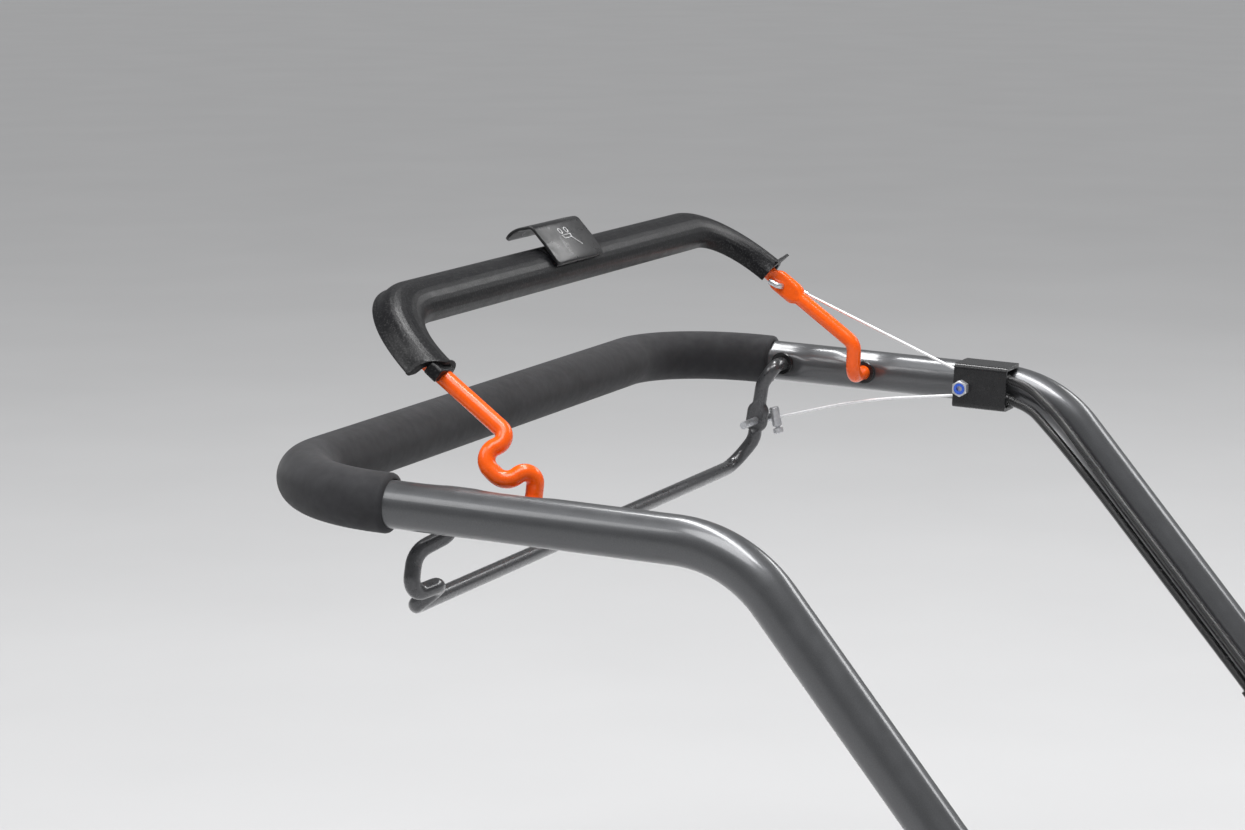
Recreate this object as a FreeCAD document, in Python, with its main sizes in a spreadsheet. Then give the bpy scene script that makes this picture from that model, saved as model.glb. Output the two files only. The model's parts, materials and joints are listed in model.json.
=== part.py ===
"""Upper handle of a self-propelled walk-behind lawn mower, with its two control bails.

A bent steel tube carries a foam grip, an engine-brake bail with a plastic cover, a drive bail,
and the two control cables that run down the left leg. Millimetres. +X is the operator's right,
+Y points forward, +Z is up. The parts are laid out round the middle of the grip's crossbar, and
the whole assembly is then set down so that the origin is the bottom centre of its box.
"""

import FreeCAD
import Part
import math
import os
import sys
import Sketcher
from FreeCAD import Placement, Rotation, Vector

DRIVING_SIZES = {
    # handlebar tube
    "tube_od": 22.2,
    "tube_wall": 1.5,
    "handle_width": 496.3,
    "corner_radius": 60.7,
    "side_fall": 2.8,
    "side_run": 229.6,
    "bend_radius": 62.3,
    "leg_fall": 51.0,
    "leg_splay": 1.8,
    "leg_run": 418.0,
    "leg_hole_od": 8.5,
    "leg_hole_end_gap": 20.0,
    "leg_hole_spacing": 50.0,
    "dent_depth": 2.0,
    "dent_radius": 42.0,
    "grip_od": 27.3,
    "grip_end": 66.5,
    "grip_edge": 2.0,
    "plug_lip": 2.0,
    "plug_depth": 16.0,
    # bail pivots
    "brake_pivot_run": 123.8,
    "drive_pivot_run": 75.1,
    "bush_barrel_od": 10.0,
    "bush_flange_od": 12.8,
    "bush_flange": 1.4,
    "bush_gap": 0.05,
    # engine-brake bail
    "brake_rod_od": 8.0,
    "brake_angle": 38.1,
    "brake_loop": 104.4,
    "brake_corner": 36.0,
    "brake_eye_width": 12.3,
    "brake_eye_thick": 5.0,
    "brake_eye_run": 52.1,
    "eye_hole_od": 3.5,
    "cover_wall": 2.0,
    "cover_start": 61.0,
    "cover_corner": 46.0,
    "tab_width": 58.0,
    "tab_thick": 1.6,
    # drive bail
    "drive_rod_od": 7.7,
    "drive_corner": 14.0,
    "drive_eye_width": 13.0,
    "drive_eye_thick": 5.0,
    "drive_eye_hole_od": 4.3,
    # cables
    "wire_od": 1.6,
    "brake_end_od": 3.4,
    "drive_end_od": 4.2,
    "conduit_od": 5.5,
    "cap_od": 6.1,
    "cap_length": 3.4,
    "barrel_od": 5.6,
    "barrel_length": 11.0,
    # cable bracket
    "bracket_length": 30.0,
    "bracket_thick": 2.0,
    "bracket_run": 196.2,
    "bracket_bolt_run": 186.2,
    "bracket_fold": 2.6,
    "bolt_od": 5.0,
    "bolt_head_af": 8.0,
    "bolt_head_thick": 3.5,
    "nut_thick": 5.0,
    "nut_ring_od": 6.2,
    "nut_ring_id": 3.2,
    "nut_ring_thick": 1.5,
    "washer_od": 10.0,
    "washer_thick": 1.6,
}

doc = FreeCAD.newDocument("MowerHandle")
sheet = doc.addObject("Spreadsheet::Sheet", "Sizes")
nodes = []


class Size:
    """A dimension that carries its value and the sheet expression that gives it."""

    def __init__(self, text, value):
        self.text = text
        self.value = value

    def _join(self, other, sign, value):
        text = other.text if isinstance(other, Size) else f"{other:.6f}"
        return Size(f"({self.text} {sign} {text})", value)

    def __add__(self, other):
        return self._join(other, "+", self.value + number(other))

    def __sub__(self, other):
        return self._join(other, "-", self.value - number(other))

    def __mul__(self, other):
        return self._join(other, "*", self.value * number(other))

    def __truediv__(self, other):
        return self._join(other, "/", self.value / number(other))

    def __neg__(self):
        return self * -1.0


def number(value):
    return value.value if isinstance(value, Size) else float(value)


def size(alias):
    return Size(f"Sizes.{alias}", DRIVING_SIZES[alias])


def fill_sheet():
    for row, (alias, value) in enumerate(DRIVING_SIZES.items(), start=1):
        sheet.set(f"A{row}", alias.replace("_", " "))
        sheet.set(f"B{row}", str(value))
        sheet.setAlias(f"B{row}", alias)
    doc.recompute()


def bind(thing, **sizes):
    """Sets properties of a document object, and binds each one that comes from the sheet."""
    for name, value in sizes.items():
        setattr(thing, name, number(value))
        if isinstance(value, Size):
            thing.setExpression(name, value.text)
    return thing


def keep(thing, label):
    """Names a finished sub-part, which makes it a node of the assembly."""
    thing.Label = label
    nodes.append(thing)
    return thing


# ---------------------------------------------------------------- directions and places

FALL = math.radians(DRIVING_SIZES["side_fall"])
LEG_FALL = math.radians(DRIVING_SIZES["leg_fall"])
SPLAY = math.radians(DRIVING_SIZES["leg_splay"])
HALF_WIDTH = DRIVING_SIZES["handle_width"] / 2
TUBE_RADIUS = DRIVING_SIZES["tube_od"] / 2
SIDE = Vector(0, math.cos(FALL), -math.sin(FALL))
OVER_SIDE = Vector(0, math.sin(FALL), math.cos(FALL))
RIGHT = 1
LEFT = -1


def leg_direction(hand):
    flat = math.cos(SPLAY)
    return Vector(hand * math.sin(SPLAY), math.cos(LEG_FALL) * flat, -math.sin(LEG_FALL) * flat)


def side_point(hand, run, inward=0.0, up=0.0):
    """A point beside the tube's axis, `run` forward of the crossbar along one side."""
    return Vector(hand * (HALF_WIDTH - inward), 0, 0) + SIDE * run + OVER_SIDE * up


def leg_point(hand, run, inward=0.0, under=0.0):
    """A point beside a leg's axis, `run` down from the corner where side and leg axes meet."""
    knee = side_point(hand, DRIVING_SIZES["side_run"])
    below = Vector(0, -math.sin(LEG_FALL), -math.cos(LEG_FALL))
    return knee + leg_direction(hand) * run + Vector(-hand * inward, 0, 0) + below * under


BRAKE_PIVOT = side_point(0, DRIVING_SIZES["brake_pivot_run"])
DRIVE_PIVOT = side_point(0, DRIVING_SIZES["drive_pivot_run"])
BRAKE_KNEE = Vector(0, 125.0, 12.8)
BRAKE_ANGLE = math.radians(DRIVING_SIZES["brake_angle"])
BRAKE_UP = Vector(0, -math.cos(BRAKE_ANGLE), math.sin(BRAKE_ANGLE))
BRAKE_FRONT = Vector(0, math.sin(BRAKE_ANGLE), math.cos(BRAKE_ANGLE))
BRAKE_LEG_X = {RIGHT: 226.0, LEFT: 217.0}
BRAKE_LEG_LEAN = 0.075


def brake_leg(hand, run):
    """A point on the axis of one leg of the engine-brake bail, `run` up from its knee."""
    return Vector(hand * (BRAKE_LEG_X[hand] - BRAKE_LEG_LEAN * run), 0, 0) + BRAKE_KNEE + BRAKE_UP * run


# ---------------------------------------------------------------- shapes used more than once


def rounded_route(points, radii):
    """A wire of straight runs through the points, with a tangent arc of its own radius at each corner."""
    edges = []
    start = points[0]
    for before, corner, after, radius in zip(points, points[1:], points[2:], radii):
        back = (before - corner).normalize()
        ahead = (after - corner).normalize()
        half_turn = (math.pi - back.getAngle(ahead)) / 2
        reach = radius * math.tan(half_turn)
        inward = (back + ahead).normalize()
        centre = corner + inward * (radius / math.cos(half_turn))
        arc_start = corner + back * reach
        arc_end = corner + ahead * reach
        edges.append(Part.LineSegment(start, arc_start).toShape())
        edges.append(Part.Arc(arc_start, centre - inward * radius, arc_end).toShape())
        start = arc_end
    edges.append(Part.LineSegment(start, points[-1]).toShape())
    return Part.Wire(edges)


def add_route(name, points, radii):
    spine = doc.addObject("Part::Feature", name + "_route")
    spine.Shape = rounded_route(points, radii)
    return spine


def add_sweep(name, spine, sections):
    sweep = doc.addObject("Part::Sweep", name)
    sweep.Sections = sections
    sweep.Spine = (spine, [f"Edge{i + 1}" for i in range(len(spine.Shape.Edges))])
    sweep.Solid = True
    sweep.Frenet = False
    return sweep


def add_rod(name, points, radii, radius):
    """A round bar or tube core of one radius along a rounded route."""
    spine = add_route(name, points, radii)
    ring = doc.addObject("Part::Circle", name + "_ring")
    bind(ring, Radius=radius)
    ring.Placement = Placement(points[0], Rotation(Vector(0, 0, 1), points[1] - points[0]))
    return add_sweep(name, spine, [ring])


def add_cylinder(name, start, axis, radius, height):
    cylinder = doc.addObject("Part::Cylinder", name)
    bind(cylinder, Radius=radius, Height=height)
    cylinder.Placement = Placement(start, Rotation(Vector(0, 0, 1), axis))
    return cylinder


def add_box(name, corner, length, width, height, turn=None):
    """A block from one corner, turned about that corner."""
    box = doc.addObject("Part::Box", name)
    bind(box, Length=length, Width=width, Height=height)
    box.Placement = Placement(corner, turn or Rotation())
    return box


def cut(name, base, tool):
    result = doc.addObject("Part::Cut", name)
    result.Base = base
    result.Tool = tool
    return result


def fuse(name, shapes):
    result = doc.addObject("Part::MultiFuse", name)
    result.Shapes = shapes
    return result


def base_plane(body, role):
    return next(item for item in body.Origin.OriginFeatures if item.Role == role)


def fix_corner(sketch, index, kind, axis, value):
    """Holds one coordinate of a corner, by a bound distance or on the axis when it is zero."""
    if number(value) == 0.0:
        sketch.addConstraint(Sketcher.Constraint("PointOnObject", index, 1, axis))
        return
    row = sketch.addConstraint(Sketcher.Constraint(kind, -1, 1, index, 1, number(value)))
    if isinstance(value, Size):
        sketch.setExpression(f"Constraints[{row}]", value.text)


def outline_sketch(body, role, corners):
    """A closed outline of straight lines, each corner held by its two coordinates."""
    sketch = body.newObject("Sketcher::SketchObject", body.Name + "_outline")
    sketch.AttachmentSupport = [(base_plane(body, role), "")]
    sketch.MapMode = "FlatFace"
    points = [Vector(number(x), number(y), 0) for x, y in corners]
    for start, end in zip(points, points[1:] + points[:1]):
        sketch.addGeometry(Part.LineSegment(start, end))
    for index, (x, y) in enumerate(corners):
        sketch.addConstraint(Sketcher.Constraint("Coincident", (index - 1) % len(corners), 2, index, 1))
        fix_corner(sketch, index, "DistanceX", -2, x)
        fix_corner(sketch, index, "DistanceY", -1, y)
    return sketch


def turned_body(name, corners, position, axis):
    """A PartDesign body turned about its Z axis from an outline of (radius, height) corners."""
    body = doc.addObject("PartDesign::Body", name)
    sketch = outline_sketch(body, "XZ_Plane", corners)
    turning = body.newObject("PartDesign::Revolution", name + "_turning")
    turning.Profile = sketch
    turning.ReferenceAxis = (sketch, ["V_Axis"])
    turning.Angle = 360.0
    body.Placement = Placement(position, Rotation(Vector(0, 0, 1), axis))
    return body


def ring_corners(inner, outer, length):
    return [(inner, 0.0), (outer, 0.0), (outer, length), (inner, length)]


def hexagon_corners(across_flats):
    """Corners of a hexagon lying on its axis, point along the sketch's first axis."""
    reach = across_flats / math.sqrt(3.0)
    corners = []
    for step in range(6):
        angle = math.radians(60 * step)
        along = 0.0 if abs(math.cos(angle)) < 1e-9 else math.cos(angle)
        across = 0.0 if abs(math.sin(angle)) < 1e-9 else math.sin(angle)
        corners.append((reach * along if along else 0.0, reach * across if across else 0.0))
    return corners


# ---------------------------------------------------------------- handlebar tube and grip


def handlebar_points(end_run):
    return [
        leg_point(RIGHT, end_run),
        side_point(RIGHT, DRIVING_SIZES["side_run"]),
        side_point(RIGHT, 0),
        side_point(LEFT, 0),
        side_point(LEFT, DRIVING_SIZES["side_run"]),
        leg_point(LEFT, end_run),
    ]


def handlebar_radii():
    bend = DRIVING_SIZES["bend_radius"]
    corner = DRIVING_SIZES["corner_radius"]
    return [bend, corner, corner, bend]


def dent_tools(name, extra):
    """Rollers that press the four flats under the pivot bushings, grown by `extra`."""
    reach = size("dent_radius") + extra
    tools = []
    for hand in (RIGHT, LEFT):
        for run in (DRIVING_SIZES["brake_pivot_run"], DRIVING_SIZES["drive_pivot_run"]):
            depth = TUBE_RADIUS - DRIVING_SIZES["dent_depth"] + DRIVING_SIZES["dent_radius"]
            foot = side_point(hand, run, inward=depth, up=-TUBE_RADIUS * 2)
            tools.append(add_cylinder(f"{name}_{len(tools)}", foot, OVER_SIDE, reach, size("tube_od") * 2))
    return fuse(name, tools)


def pivot_holes():
    """Holes through the tube's inner wall only, for the four bushings."""
    holes = []
    for hand in (RIGHT, LEFT):
        for run in (DRIVING_SIZES["brake_pivot_run"], DRIVING_SIZES["drive_pivot_run"]):
            start = side_point(hand, run, inward=TUBE_RADIUS + 2)
            name = f"pivot_hole_{len(holes)}"
            inwards = Vector(hand, 0, 0)
            holes.append(add_cylinder(name, start, inwards, size("bush_barrel_od") / 2, size("tube_od") / 2))
    return holes


def leg_hole_points(hand):
    end = DRIVING_SIZES["leg_run"] - DRIVING_SIZES["leg_hole_end_gap"]
    return [leg_point(hand, end), leg_point(hand, end - DRIVING_SIZES["leg_hole_spacing"])]


def leg_holes():
    holes = []
    for hand in (RIGHT, LEFT):
        for point in leg_hole_points(hand):
            start = point - Vector(TUBE_RADIUS * 2, 0, 0)
            name = f"leg_hole_{len(holes)}"
            through = size("tube_od") * 2
            holes.append(add_cylinder(name, start, Vector(1, 0, 0), size("leg_hole_od") / 2, through))
    return holes


def bracket_bolt_hole():
    start = side_point(LEFT, DRIVING_SIZES["bracket_bolt_run"], inward=TUBE_RADIUS + 4)
    return add_cylinder(
        "bracket_bolt_hole", start, Vector(-1, 0, 0), size("bolt_od") / 2 + 0.25, size("tube_od") + 10
    )


def build_handlebar():
    outside = add_rod(
        "tube_outside", handlebar_points(DRIVING_SIZES["leg_run"]), handlebar_radii(), size("tube_od") / 2
    )
    past_end = DRIVING_SIZES["leg_run"] + 5
    bore = add_rod(
        "tube_bore", handlebar_points(past_end), handlebar_radii(), size("tube_od") / 2 - size("tube_wall")
    )
    dented = cut("tube_dented", outside, dent_tools("dents", 0.0))
    dented_bore = cut("tube_bore_dented", bore, dent_tools("bore_dents", size("tube_wall")))
    hollow = cut("tube_hollow", dented, dented_bore)
    holes = fuse("tube_holes", pivot_holes() + leg_holes() + [bracket_bolt_hole()])
    keep(cut("handlebar", hollow, holes), "handlebar_tube")


def grip_points(end_run):
    return [
        side_point(RIGHT, end_run),
        side_point(RIGHT, 0),
        side_point(LEFT, 0),
        side_point(LEFT, end_run),
    ]


def build_foam_grip():
    radii = [DRIVING_SIZES["corner_radius"]] * 2
    end = DRIVING_SIZES["grip_end"]
    outer = size("grip_od") / 2
    outside = add_rod("grip_outside", grip_points(end), radii, outer)
    bore = add_rod("grip_bore", grip_points(end + 1), radii, size("tube_od") / 2)
    sleeve = cut("grip_sleeve", outside, bore)
    doc.recompute()
    rounded = doc.addObject("Part::Fillet", "grip_rounded")
    rounded.Base = sleeve
    edge = DRIVING_SIZES["grip_edge"]
    rims = []
    for index, rim in enumerate(sleeve.Shape.Edges, start=1):
        round_rim = isinstance(rim.Curve, Part.Circle) and abs(rim.Curve.Radius - outer.value) < 0.01
        if round_rim and rim.Curve.Center.y > end - 1:
            rims.append((index, edge, edge))
    rounded.Edges = rims
    keep(rounded, "foam_grip")


def build_leg_plugs():
    bore = size("tube_od") / 2 - size("tube_wall")
    outer = size("tube_od") / 2
    lip = size("plug_lip")
    corners = [
        (0.0, 0.0), (outer - 0.8, 0.0), (outer, 0.8), (outer, lip), (bore, lip),
        (bore, lip + size("plug_depth") - 1.5), (bore - 1.5, lip + size("plug_depth")),
        (bore - 3.0, lip + size("plug_depth")), (bore - 3.0, lip + 1.5), (0.0, lip + 1.5),
    ]
    for hand, name in ((RIGHT, "leg_plug_right"), (LEFT, "leg_plug_left")):
        foot = leg_point(hand, DRIVING_SIZES["leg_run"] + DRIVING_SIZES["plug_lip"])
        keep(turned_body(name + "_body", corners, foot, -leg_direction(hand)), name)


def build_bushings():
    """Flanged bushings in the tube's inner wall, one at each end of each bail."""
    seat = TUBE_RADIUS - DRIVING_SIZES["dent_depth"] + 0.5
    pivots = (("brake", "brake_pivot_run", "brake_rod_od"), ("drive", "drive_pivot_run", "drive_rod_od"))
    for bail, run, rod in pivots:
        bore = size(rod) / 2 + size("bush_gap")
        barrel = size("bush_barrel_od") / 2
        flange = size("bush_flange_od") / 2
        thick = size("bush_flange")
        corners = [
            (bore, 0.0), (flange - 0.5, 0.0), (flange, 0.5), (flange, thick), (barrel, thick),
            (barrel, thick + 3.0), (bore, thick + 3.0),
        ]
        for hand, name in ((RIGHT, "right"), (LEFT, "left")):
            face = side_point(hand, DRIVING_SIZES[run], inward=seat + DRIVING_SIZES["bush_flange"])
            body = turned_body(f"{bail}_bush_{name}", corners, face, Vector(hand, 0, 0))
            keep(body, f"{bail}_bushing_{name}")


# ---------------------------------------------------------------- engine-brake bail


def flat_eye(name, rod, centre, along, across, sizes):
    """Flattens a stretch of a rod into an eye: two faces pressed in, and a wider plate with a hole."""
    width, thick, length, hole, hole_shift = sizes
    half = number(thick) / 2
    turn = Rotation(along, across, Vector(1, 0, 0), "XYZ")
    span = number(length)
    slabs = []
    for index, side in enumerate((half, -half - 6.0)):
        corner = centre - along * (span / 2) - across * 12.0 + Vector(side, 0, 0)
        slabs.append(add_box(f"{name}_press_{index}", corner, length, 24.0, 6.0, turn))
    pressed = cut(f"{name}_pressed", rod, fuse(f"{name}_press", slabs))
    reach = (span - number(width)) / 2
    plate_start = centre - along * reach - across * (number(width) / 2) - Vector(half, 0, 0)
    plate = add_box(f"{name}_plate", plate_start, length - width, width, thick, turn)
    ends = []
    for index, side in enumerate((-1, 1)):
        foot = centre + along * (side * reach) - Vector(half, 0, 0)
        ends.append(add_cylinder(f"{name}_end_{index}", foot, Vector(1, 0, 0), width / 2, thick))
    blank = fuse(f"{name}_blank", [pressed, plate] + ends)
    drill = add_cylinder(
        f"{name}_drill", centre + hole_shift - Vector(10, 0, 0), Vector(1, 0, 0), hole / 2, 20.0
    )
    return cut(name, blank, drill)


def brake_rod_points():
    right_foot = BRAKE_LEG_X[RIGHT] - 2.0
    left_foot = BRAKE_LEG_X[LEFT] + 2.0
    pin_end = HALF_WIDTH - 1.0
    return [
        BRAKE_PIVOT + Vector(pin_end, 0, 0),
        BRAKE_PIVOT + Vector(right_foot, 0, 0),
        Vector(right_foot, 126.3, 16.5),
        Vector(233.0, 114.6, 6.0),
        Vector(234.4, 100.8, 18.4),
        Vector(224.5, 114.5, 25.0),
        brake_leg(RIGHT, DRIVING_SIZES["brake_loop"]),
        brake_leg(LEFT, DRIVING_SIZES["brake_loop"]),
        brake_leg(LEFT, 0),
        BRAKE_PIVOT - Vector(left_foot, 0, 0),
        BRAKE_PIVOT - Vector(pin_end, 0, 0),
    ]


def brake_rod_radii():
    corner = DRIVING_SIZES["brake_corner"]
    return [7.5, 5.2, 7.0, 6.6, 5.4, corner, corner, 8.0, 7.5]


def build_brake_bail():
    rod = add_rod("brake_bar", brake_rod_points(), brake_rod_radii(), size("brake_rod_od") / 2)
    centre = brake_leg(LEFT, DRIVING_SIZES["brake_eye_run"] - 2.8)
    along = (brake_leg(LEFT, 10) - brake_leg(LEFT, 0)).normalize()
    along = Vector(0, along.y, along.z).normalize()
    across = Vector(1, 0, 0).cross(along)
    width = size("brake_eye_width")
    sizes = (width, size("brake_eye_thick"), width + 10.0, size("eye_hole_od"), BRAKE_EYE - centre)
    keep(flat_eye("brake_eye", rod, centre, along, across, sizes), "brake_bail_rod")


BRAKE_EYE = Vector(brake_leg(LEFT, DRIVING_SIZES["brake_eye_run"]).x, 84.0, 44.0)


def cover_place(hand, run, outward, front):
    """A point of the cover's frame on one leg: outward from the loop, and to the front of it."""
    return brake_leg(hand, run) + Vector(hand * outward, 0, 0) + BRAKE_FRONT * front


def cover_section(hand, run):
    """The cover's channel section, open towards the grip, as a closed wire square to one leg."""
    skin = [
        (-12.0, -2.6), (-11.0, 3.0), (-6.5, 7.4), (0.0, 8.4),
        (6.5, 7.4), (11.0, 3.0), (12.2, -2.0), (13.6, -3.8),
    ]
    inside = [
        (12.3, -4.7), (10.3, -2.4), (9.1, 2.2), (5.6, 5.5),
        (0.0, 6.4), (-5.6, 5.5), (-9.1, 2.2), (-10.1, -2.6),
    ]
    corners = [cover_place(hand, run, outward, front) for outward, front in skin + inside]
    return Part.makePolygon(corners + corners[:1])


def tab_outline():
    """The label tab's bent strip in the bail's section plane: its two long edges."""
    half = DRIVING_SIZES["tab_thick"] / 2
    corners = [(-7.6, 9.3), (4.3, 12.3), (15.6, 14.3), (22.0, 7.0), (22.6, -0.4)]
    line = [Vector(up, front, 0) for up, front in corners]
    sides = []
    for shift in (half, -half):
        moved = []
        for index, point in enumerate(line):
            before = line[max(index - 1, 0)]
            after = line[min(index + 1, len(line) - 1)]
            first = (point - before) if index else (after - point)
            last = (after - point) if index < len(line) - 1 else (point - before)
            first.normalize()
            last.normalize()
            normal = Vector(-first.y - last.y, first.x + last.x, 0).normalize()
            spread = normal.dot(Vector(-first.y, first.x, 0))
            moved.append(point + normal * (shift / spread))
        sides.append(rounded_route(moved, [22.0 - shift, 3.2 + shift, 12.0 + shift]))
    return sides


def tab_plate(name):
    outer, inner = tab_outline()
    first, last = outer.OrderedVertexes[0].Point, outer.OrderedVertexes[-1].Point
    other_first, other_last = inner.OrderedVertexes[0].Point, inner.OrderedVertexes[-1].Point
    ends = [Part.LineSegment(first, other_first).toShape(), Part.LineSegment(last, other_last).toShape()]
    outline = Part.Wire(Part.__sortEdges__(outer.Edges + inner.Edges + ends))
    strip = doc.addObject("Part::Feature", name + "_outline")
    strip.Shape = outline
    plate = doc.addObject("Part::Extrusion", name)
    plate.Base = strip
    plate.DirMode = "Custom"
    plate.Dir = Vector(0, 0, 1)
    plate.Solid = True
    bind(plate, LengthFwd=size("tab_width"))
    loop = DRIVING_SIZES["brake_loop"]
    middle = (brake_leg(RIGHT, loop) + brake_leg(LEFT, loop)) * 0.5
    turn = Rotation(BRAKE_UP, BRAKE_FRONT, Vector(-1, 0, 0), "XYZ")
    plate.Placement = Placement(middle + Vector(DRIVING_SIZES["tab_width"] / 2, 0, 0), turn)
    return plate


def build_cover():
    """The hand cover: a channel over the bail's crossbar and corners, with ribs that hold the rod."""
    start = DRIVING_SIZES["cover_start"]
    corner = DRIVING_SIZES["cover_corner"]
    loop = DRIVING_SIZES["brake_loop"]
    points = [brake_leg(RIGHT, start), brake_leg(RIGHT, loop), brake_leg(LEFT, loop), brake_leg(LEFT, start)]
    section = doc.addObject("Part::Feature", "cover_section")
    section.Shape = cover_section(RIGHT, start)
    channel = add_sweep("cover_channel", add_route("cover", points, [corner] * 2), [section])
    # the right end is cut off at a slant on its outer side
    slant = (Vector(10.6, 0, 0) + BRAKE_UP * 7.0).normalize()
    above = slant.cross(BRAKE_FRONT)
    foot = points[0] + Vector(3.0, 0, 0) - BRAKE_FRONT * 12.0 - above * 16.0
    slant_turn = Rotation(slant, BRAKE_FRONT, above, "XYZ")
    trimmed = cut("cover_trimmed", channel, add_box("cover_slant", foot, 30.0, 26.0, 16.0, slant_turn))
    middle = (points[1] + points[2]) * 0.5
    rib_turn = Rotation(Vector(1, 0, 0), BRAKE_UP * -1, BRAKE_FRONT, "XYZ")
    fittings = []
    for step in range(-2, 3):
        place = middle + Vector(82.0 * step - 1.0, 0, 0) + BRAKE_UP * 9.5 - BRAKE_FRONT * 2.2
        fittings.append(add_box(f"cover_rib_{step + 2}", place, size("cover_wall"), 19.0, 8.2, rib_turn))
    end_turn = Rotation(Vector(1, 0, 0), BRAKE_UP, BRAKE_FRONT * -1, "XYZ")
    pad = middle - Vector(DRIVING_SIZES["tab_width"] / 2 - 2.0, 0, 0) - BRAKE_UP * 6.5 + BRAKE_FRONT * 9.6
    fittings.append(add_box("cover_pad", pad, size("tab_width") - 4.0, 13.0, 3.0, end_turn))
    boss = points[0] + Vector(-6.0, 0, 0) + BRAKE_FRONT * 7.0 - BRAKE_UP * 2.5
    fittings.append(add_box("cover_boss", boss, 14.5, 7.5, 8.4, end_turn))
    flange = points[3] + Vector(-15.0, 0, 0) + BRAKE_FRONT * 10.8
    fittings.append(add_box("cover_flange", flange, 19.0, 1.6, 4.0, end_turn))
    blank = fuse("cover_blank", [trimmed] + fittings)
    rod = add_rod("cover_rod_room", brake_rod_points(), brake_rod_radii(), size("brake_rod_od") / 2)
    clearance = fuse("cover_clearance", [rod, tab_plate("tab_slot")])
    keep(cut("cover", blank, clearance), "brake_bail_cover")


# ---------------------------------------------------------------- drive bail

DRIVE_EYE = Vector(-225.0, 64.75, -34.8)


def drive_rod_points():
    pin_end = HALF_WIDTH - 1.0
    return [
        DRIVE_PIVOT + Vector(pin_end, 0, 0),
        DRIVE_PIVOT + Vector(210.0, 0, 0),
        Vector(210.0, 78.0, -22.0),
        Vector(217.0, 62.5, -31.0),
        Vector(220.5, 61.0, -51.0),
        Vector(196.5, 67.5, -48.5),
        Vector(197.5, 51.5, -61.2),
        Vector(-222.0, 51.5, -61.4),
        Vector(-225.0, 63.0, -46.0),
        Vector(-225.0, 68.0, -14.0),
        DRIVE_PIVOT - Vector(225.0, 0, 0),
        DRIVE_PIVOT - Vector(pin_end, 0, 0),
    ]


def build_drive_bail():
    corner = DRIVING_SIZES["drive_corner"]
    rod = add_rod(
        "drive_bar", drive_rod_points(), [7.0, 8.0, 12.0, 7.0, 6.0, 5.5, corner, corner, 12.0, 5.0],
        size("drive_rod_od") / 2,
    )
    points = drive_rod_points()
    along = (points[9] - points[8]).normalize()
    across = Vector(1, 0, 0).cross(along)
    width = size("drive_eye_width")
    sizes = (width, size("drive_eye_thick"), width + 8.0, size("drive_eye_hole_od"), Vector(0, 0, 0))
    keep(flat_eye("drive_eye", rod, DRIVE_EYE, along, across, sizes), "drive_bail_rod")


# ---------------------------------------------------------------- cables

BRAKE_WIRE_MOUTH = Vector(-226.0, 181.0, 0.5)
DRIVE_WIRE_MOUTH = Vector(-227.0, 181.0, -14.2)
STOP_RUN = 206.2
CONDUIT_ROUTES = {
    "brake": {
        "bracket": [Vector(-229.0, 210.6, -4.2), Vector(-231.0, 222.0, -8.4), Vector(-233.6, 238.0, -24.0)],
        "leg": [(60, 14.1, 2.1), (245, 14.1, 2.1)],
    },
    "drive": {
        "bracket": [Vector(-229.0, 210.6, -15.4), Vector(-231.5, 223.0, -20.6), Vector(-234.5, 238.0, -37.5)],
        "leg": [(62, 10.1, 10.1), (245, 10.1, 10.1)],
    },
}
ADJUSTER_LENGTH = 26.0
LOWER_WIRE_LENGTH = 22.0


def conduit_points(cable):
    route = CONDUIT_ROUTES[cable]
    return route["bracket"] + [leg_point(LEFT, run, inward, under) for run, inward, under in route["leg"]]


def easy_radii(points):
    """A bend at each point that takes up 0.45 of the shorter run beside it."""
    radii = []
    for before, corner, after in zip(points, points[1:], points[2:]):
        half_turn = (corner - before).getAngle(after - corner) / 2
        shorter = min((corner - before).Length, (after - corner).Length)
        radii.append(0.45 * shorter / math.tan(half_turn))
    return radii


def build_brake_cable_end():
    """The engine-brake cable's end: a hook through the bail's eye, and the inner wire."""
    inside = BRAKE_EYE + Vector(5.0, 0, 0)
    outside = BRAKE_EYE - Vector(7.5, 0, 0)
    pull = (BRAKE_WIRE_MOUTH - outside).normalize()
    tip = inside + Vector(0, -pull.y, -pull.z).normalize() * 6.8
    sleeve_end = outside + pull * 13.0
    end_radius = size("brake_end_od") / 2
    hook = add_rod("brake_hook", [tip, inside, outside, sleeve_end], [2.4, 2.4], end_radius)
    keep(hook, "brake_cable_hook")
    wire_end = BRAKE_WIRE_MOUTH + pull * 14.0
    wire = add_cylinder("brake_wire", sleeve_end, pull, size("wire_od") / 2, (wire_end - sleeve_end).Length)
    keep(wire, "brake_cable_wire")


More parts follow.
